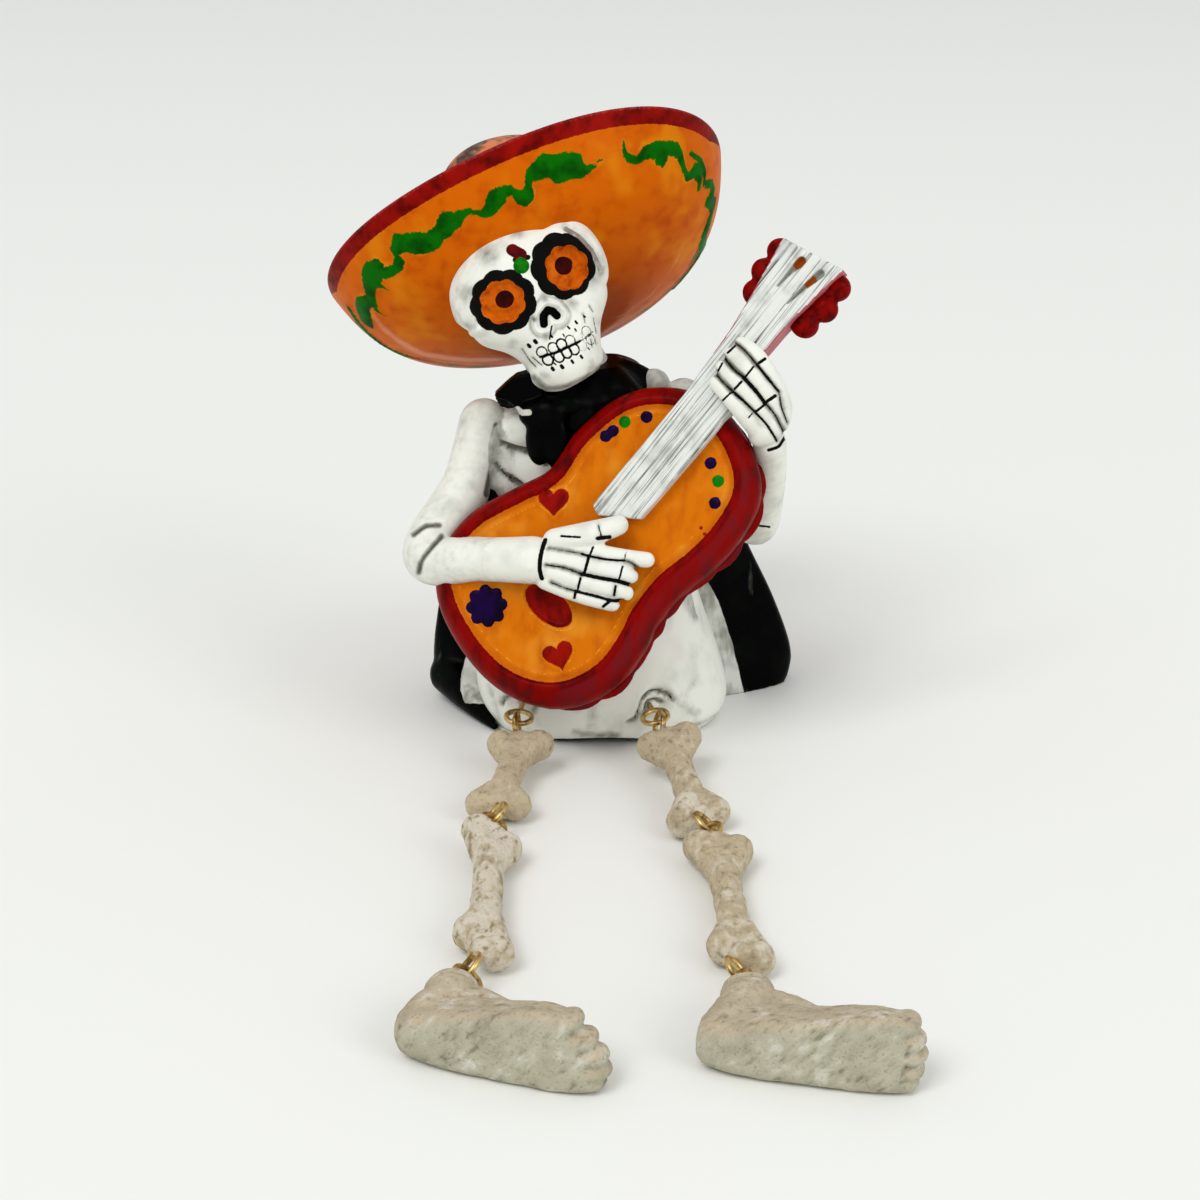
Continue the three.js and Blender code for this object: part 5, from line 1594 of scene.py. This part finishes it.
# Feet.
# Flat cast feet in bare greenish grey resin that lie on edge, soles to the front and
# toes to the right, with a round ankle that a screw eye is set into.
FEET = {
    # heel, turn, how far the upper toes draw back, ankle
    "left_foot": ((-26.2, -133.4, 4.5), math.radians(-20), 0.5, (-22.6, -128.0, 5.6)),
    "right_foot": ((18.6, -136.2, 4.5), math.radians(-13), 0.0, (22.6, -128.6, 5.4)),
}
SOLE = [
    # along the foot, bottom, top, front, back
    (-4.0, -3.2, 2.2, -2.6, 3.0),
    (-1.6, -4.4, 3.6, -4.2, 5.0),
    (6.0, -4.4, 4.8, -4.6, 5.4),
    (14.0, -4.4, 6.2, -4.6, 4.4),
    (22.0, -4.4, 7.8, -4.4, 3.4),
    (26.6, -4.2, 7.4, -3.6, 2.6),
]
TOES = [(26.6, 6.4), (27.5, 3.8), (27.9, 1.3), (27.6, -1.1), (26.9, -3.0)]
TOE_RADIUS = 1.4
ANKLE = (4.6, 5.9, 4.5)
FOOT_GRAIN = 0.36
SOLE_SQUARENESS, HEEL_ROUNDNESS = 0.36, 0.45
FOOT_GREY, FOOT_PALE, FOOT_DARK = (182, 177, 156), (218, 216, 206), (88, 84, 64)
FOOT_ROSE = (190, 176, 152)


def sole_skin(t, angle):
    x, bottom, top, front, back = through(SOLE, t)
    power = SOLE_SQUARENESS + HEEL_ROUNDNESS * clamp((6 - x) / 8)
    tall = squared(math.sin(angle), power)
    deep = squared(math.cos(angle), power)
    slope = -0.75 * deep * max(tall, 0) * clamp(x / 8)
    return (
        x,
        (front + back) / 2 + deep * (back - front) / 2,
        (bottom + top) / 2 + tall * (top - bottom) / 2 + slope,
    )


def sole_axis(t):
    return through(SOLE, t)[0], 0.5, 0


foot_resin = bare_resin(
    "foot_resin", FOOT_GREY, FOOT_PALE, FOOT_DARK, FOOT_ROSE, ((1, 1, 2.6), (0, 0.75, 0)),
)
for seed, (foot_name, (heel, turn, slant, ankle)) in enumerate(FEET.items()):
    sole = ringed(foot_name, sole_skin, sole_axis, 96, 60, 6)
    for vertex in sole.data.vertices:
        x, y, z = vertex.co
        vertex.co.x -= slant * max(z, 0) * clamp((x + 4) / 30)
    parts = [sole, *[
        ball((x - slant * max(z, 0), -0.4, z), (TOE_RADIUS * 1.5, 2.9, TOE_RADIUS))
        for x, z in TOES
    ]]
    for part in parts:
        part.data.transform(Matrix.Translation(heel) @ Matrix.Rotation(turn, 4, "Z"))
    ankle_slope = limb([
        (*(Vector(ankle) + Vector((3.6, -1.6, -0.6))), 3.8),
        (*(Vector(ankle) + Vector((10.0, -4.8, -0.8))), 3.0),
    ], 20, 10)
    heel_slope = limb([(*ankle, 4.3), (*(Vector(heel) + Vector((0.4, 1.2, 0.4))), 4.2)], 24, 12)
    foot = fuse(foot_name, [*parts, ball(ankle, ANKLE), ankle_slope, heel_slope], FOOT_GRAIN, 3)
    foot.name = foot_name + "_skin"
    roughen(foot, 6.0, 0.14, 20 + seed)
    roughen(foot, 1.7, 0.06, 30 + seed)
    spots, out = surface(foot)
    near_ankle = np.hypot(spots[:, 0] - ankle[0], spots[:, 2] - ankle[2]) < 7
    band = soft(spots[:, 1] - ankle[1] - 1.9, 0.5) * near_ankle
    lip = soft(spots[:, 1] - ankle[1] - 2.8, 0.6) * near_ankle
    spots = spots + out * (lip * 0.35 - band * 0.4)[:, None]
    spots[:, 2] = np.maximum(spots[:, 2], 0.1)
    shift(foot, spots)
    note(foot, "wash", np.maximum(hollows(foot, 14, 0.6) * 0.9, band * 0.7))
    note(foot, "other", np.clip(surface(foot)[1][:, 2] * 3 - 0.9, 0, 1))
    note(foot, "chalk", np.full(len(spots), 0.3))
    settle(foot, foot_resin, foot_name)

# Screw eyes.
# Small brass eyes of bent wire, linked in pairs at the hips, knees and ankles, each
# with a shank that is screwed into its casting.
LEGS = {
    # hip, knee and ankle links, and how the first ring of the knee and ankle is rolled
    "left": ((-15.8, -26.6, 7.6), (-18.8, -62.4, 4.2), (-20.6, -117.0, 4.4), -50),
    "right": ((11.0, -26.8, 7.8), (19.0, -66.0, 4.2), (21.5, -118.2, 4.4), 50),
}
RING_MIDDLE, WIRE, SHANK, LINK_HALF = 2.45, 0.53, 2.8, 1.75
BRASS, BRASS_DARK = (214, 184, 122), (126, 96, 50)

brass = Finish("brass_wire", 0.3, 0.5)
tarnish = brass.cloud(1.5, 4.0)
brass.paint(
    Base_Color=brass.over(BRASS, (BRASS_DARK, tarnish.above(0.42, 0.7))),
    Metallic=1.0,
    Roughness=0.25 + tarnish * 0.3,
    Normal=brass.bumps(tarnish, 0.03),
)
bpy.ops.mesh.primitive_torus_add(
    major_radius=RING_MIDDLE, minor_radius=WIRE, major_segments=48, minor_segments=14,
    rotation=(math.pi / 2, 0, 0),
)
ring = bpy.context.object
bpy.ops.object.transform_apply(location=False, rotation=True, scale=False)
stem = limb([
    (0, 0, RING_MIDDLE, WIRE), (0, 0, RING_MIDDLE + 0.9, WIRE), (0, 0, RING_MIDDLE + SHANK, WIRE),
], 14, 12)
choose(ring, stem)
bpy.ops.object.join()
model_eye = bpy.context.object


def hang_eye(node, place, way, roll):
    """A copy of the eye whose shank points along way, in its node's place."""
    eye = model_eye.copy()
    eye.data = model_eye.data.copy()
    eye.name = node + "_wire"
    bpy.context.collection.objects.link(eye)
    turn = Vector((0, 0, 1)).rotation_difference(way).to_matrix().to_4x4()
    eye.data.transform(Matrix.Translation(place) @ turn @ Matrix.Rotation(roll, 4, "Z"))
    settle(eye, brass.material, node)


for side, (hip, knee, ankle, lie) in LEGS.items():
    hip, knee, ankle = Vector(hip), Vector(knee), Vector(ankle)
    thigh_way = (knee - hip).normalized()
    shin_way = (ankle - knee).normalized()
    foot_way = Vector((0, -1, 0))
    links = [
        (hip, thigh_way, 0, "hip_eye", "thigh_top_eye"),
        (knee, (thigh_way + shin_way).normalized(), lie, "thigh_bottom_eye", "shin_top_eye"),
        (ankle, (shin_way + foot_way).normalized(), lie, "shin_bottom_eye", "foot_eye"),
    ]
    for middle, way, roll, before, after in links:
        roll = math.radians(roll)
        hang_eye(f"{side}_{before}", middle - way * LINK_HALF, -way, roll)
        hang_eye(f"{side}_{after}", middle + way * LINK_HALF, way, math.pi / 2 - roll)
bpy.data.objects.remove(model_eye)
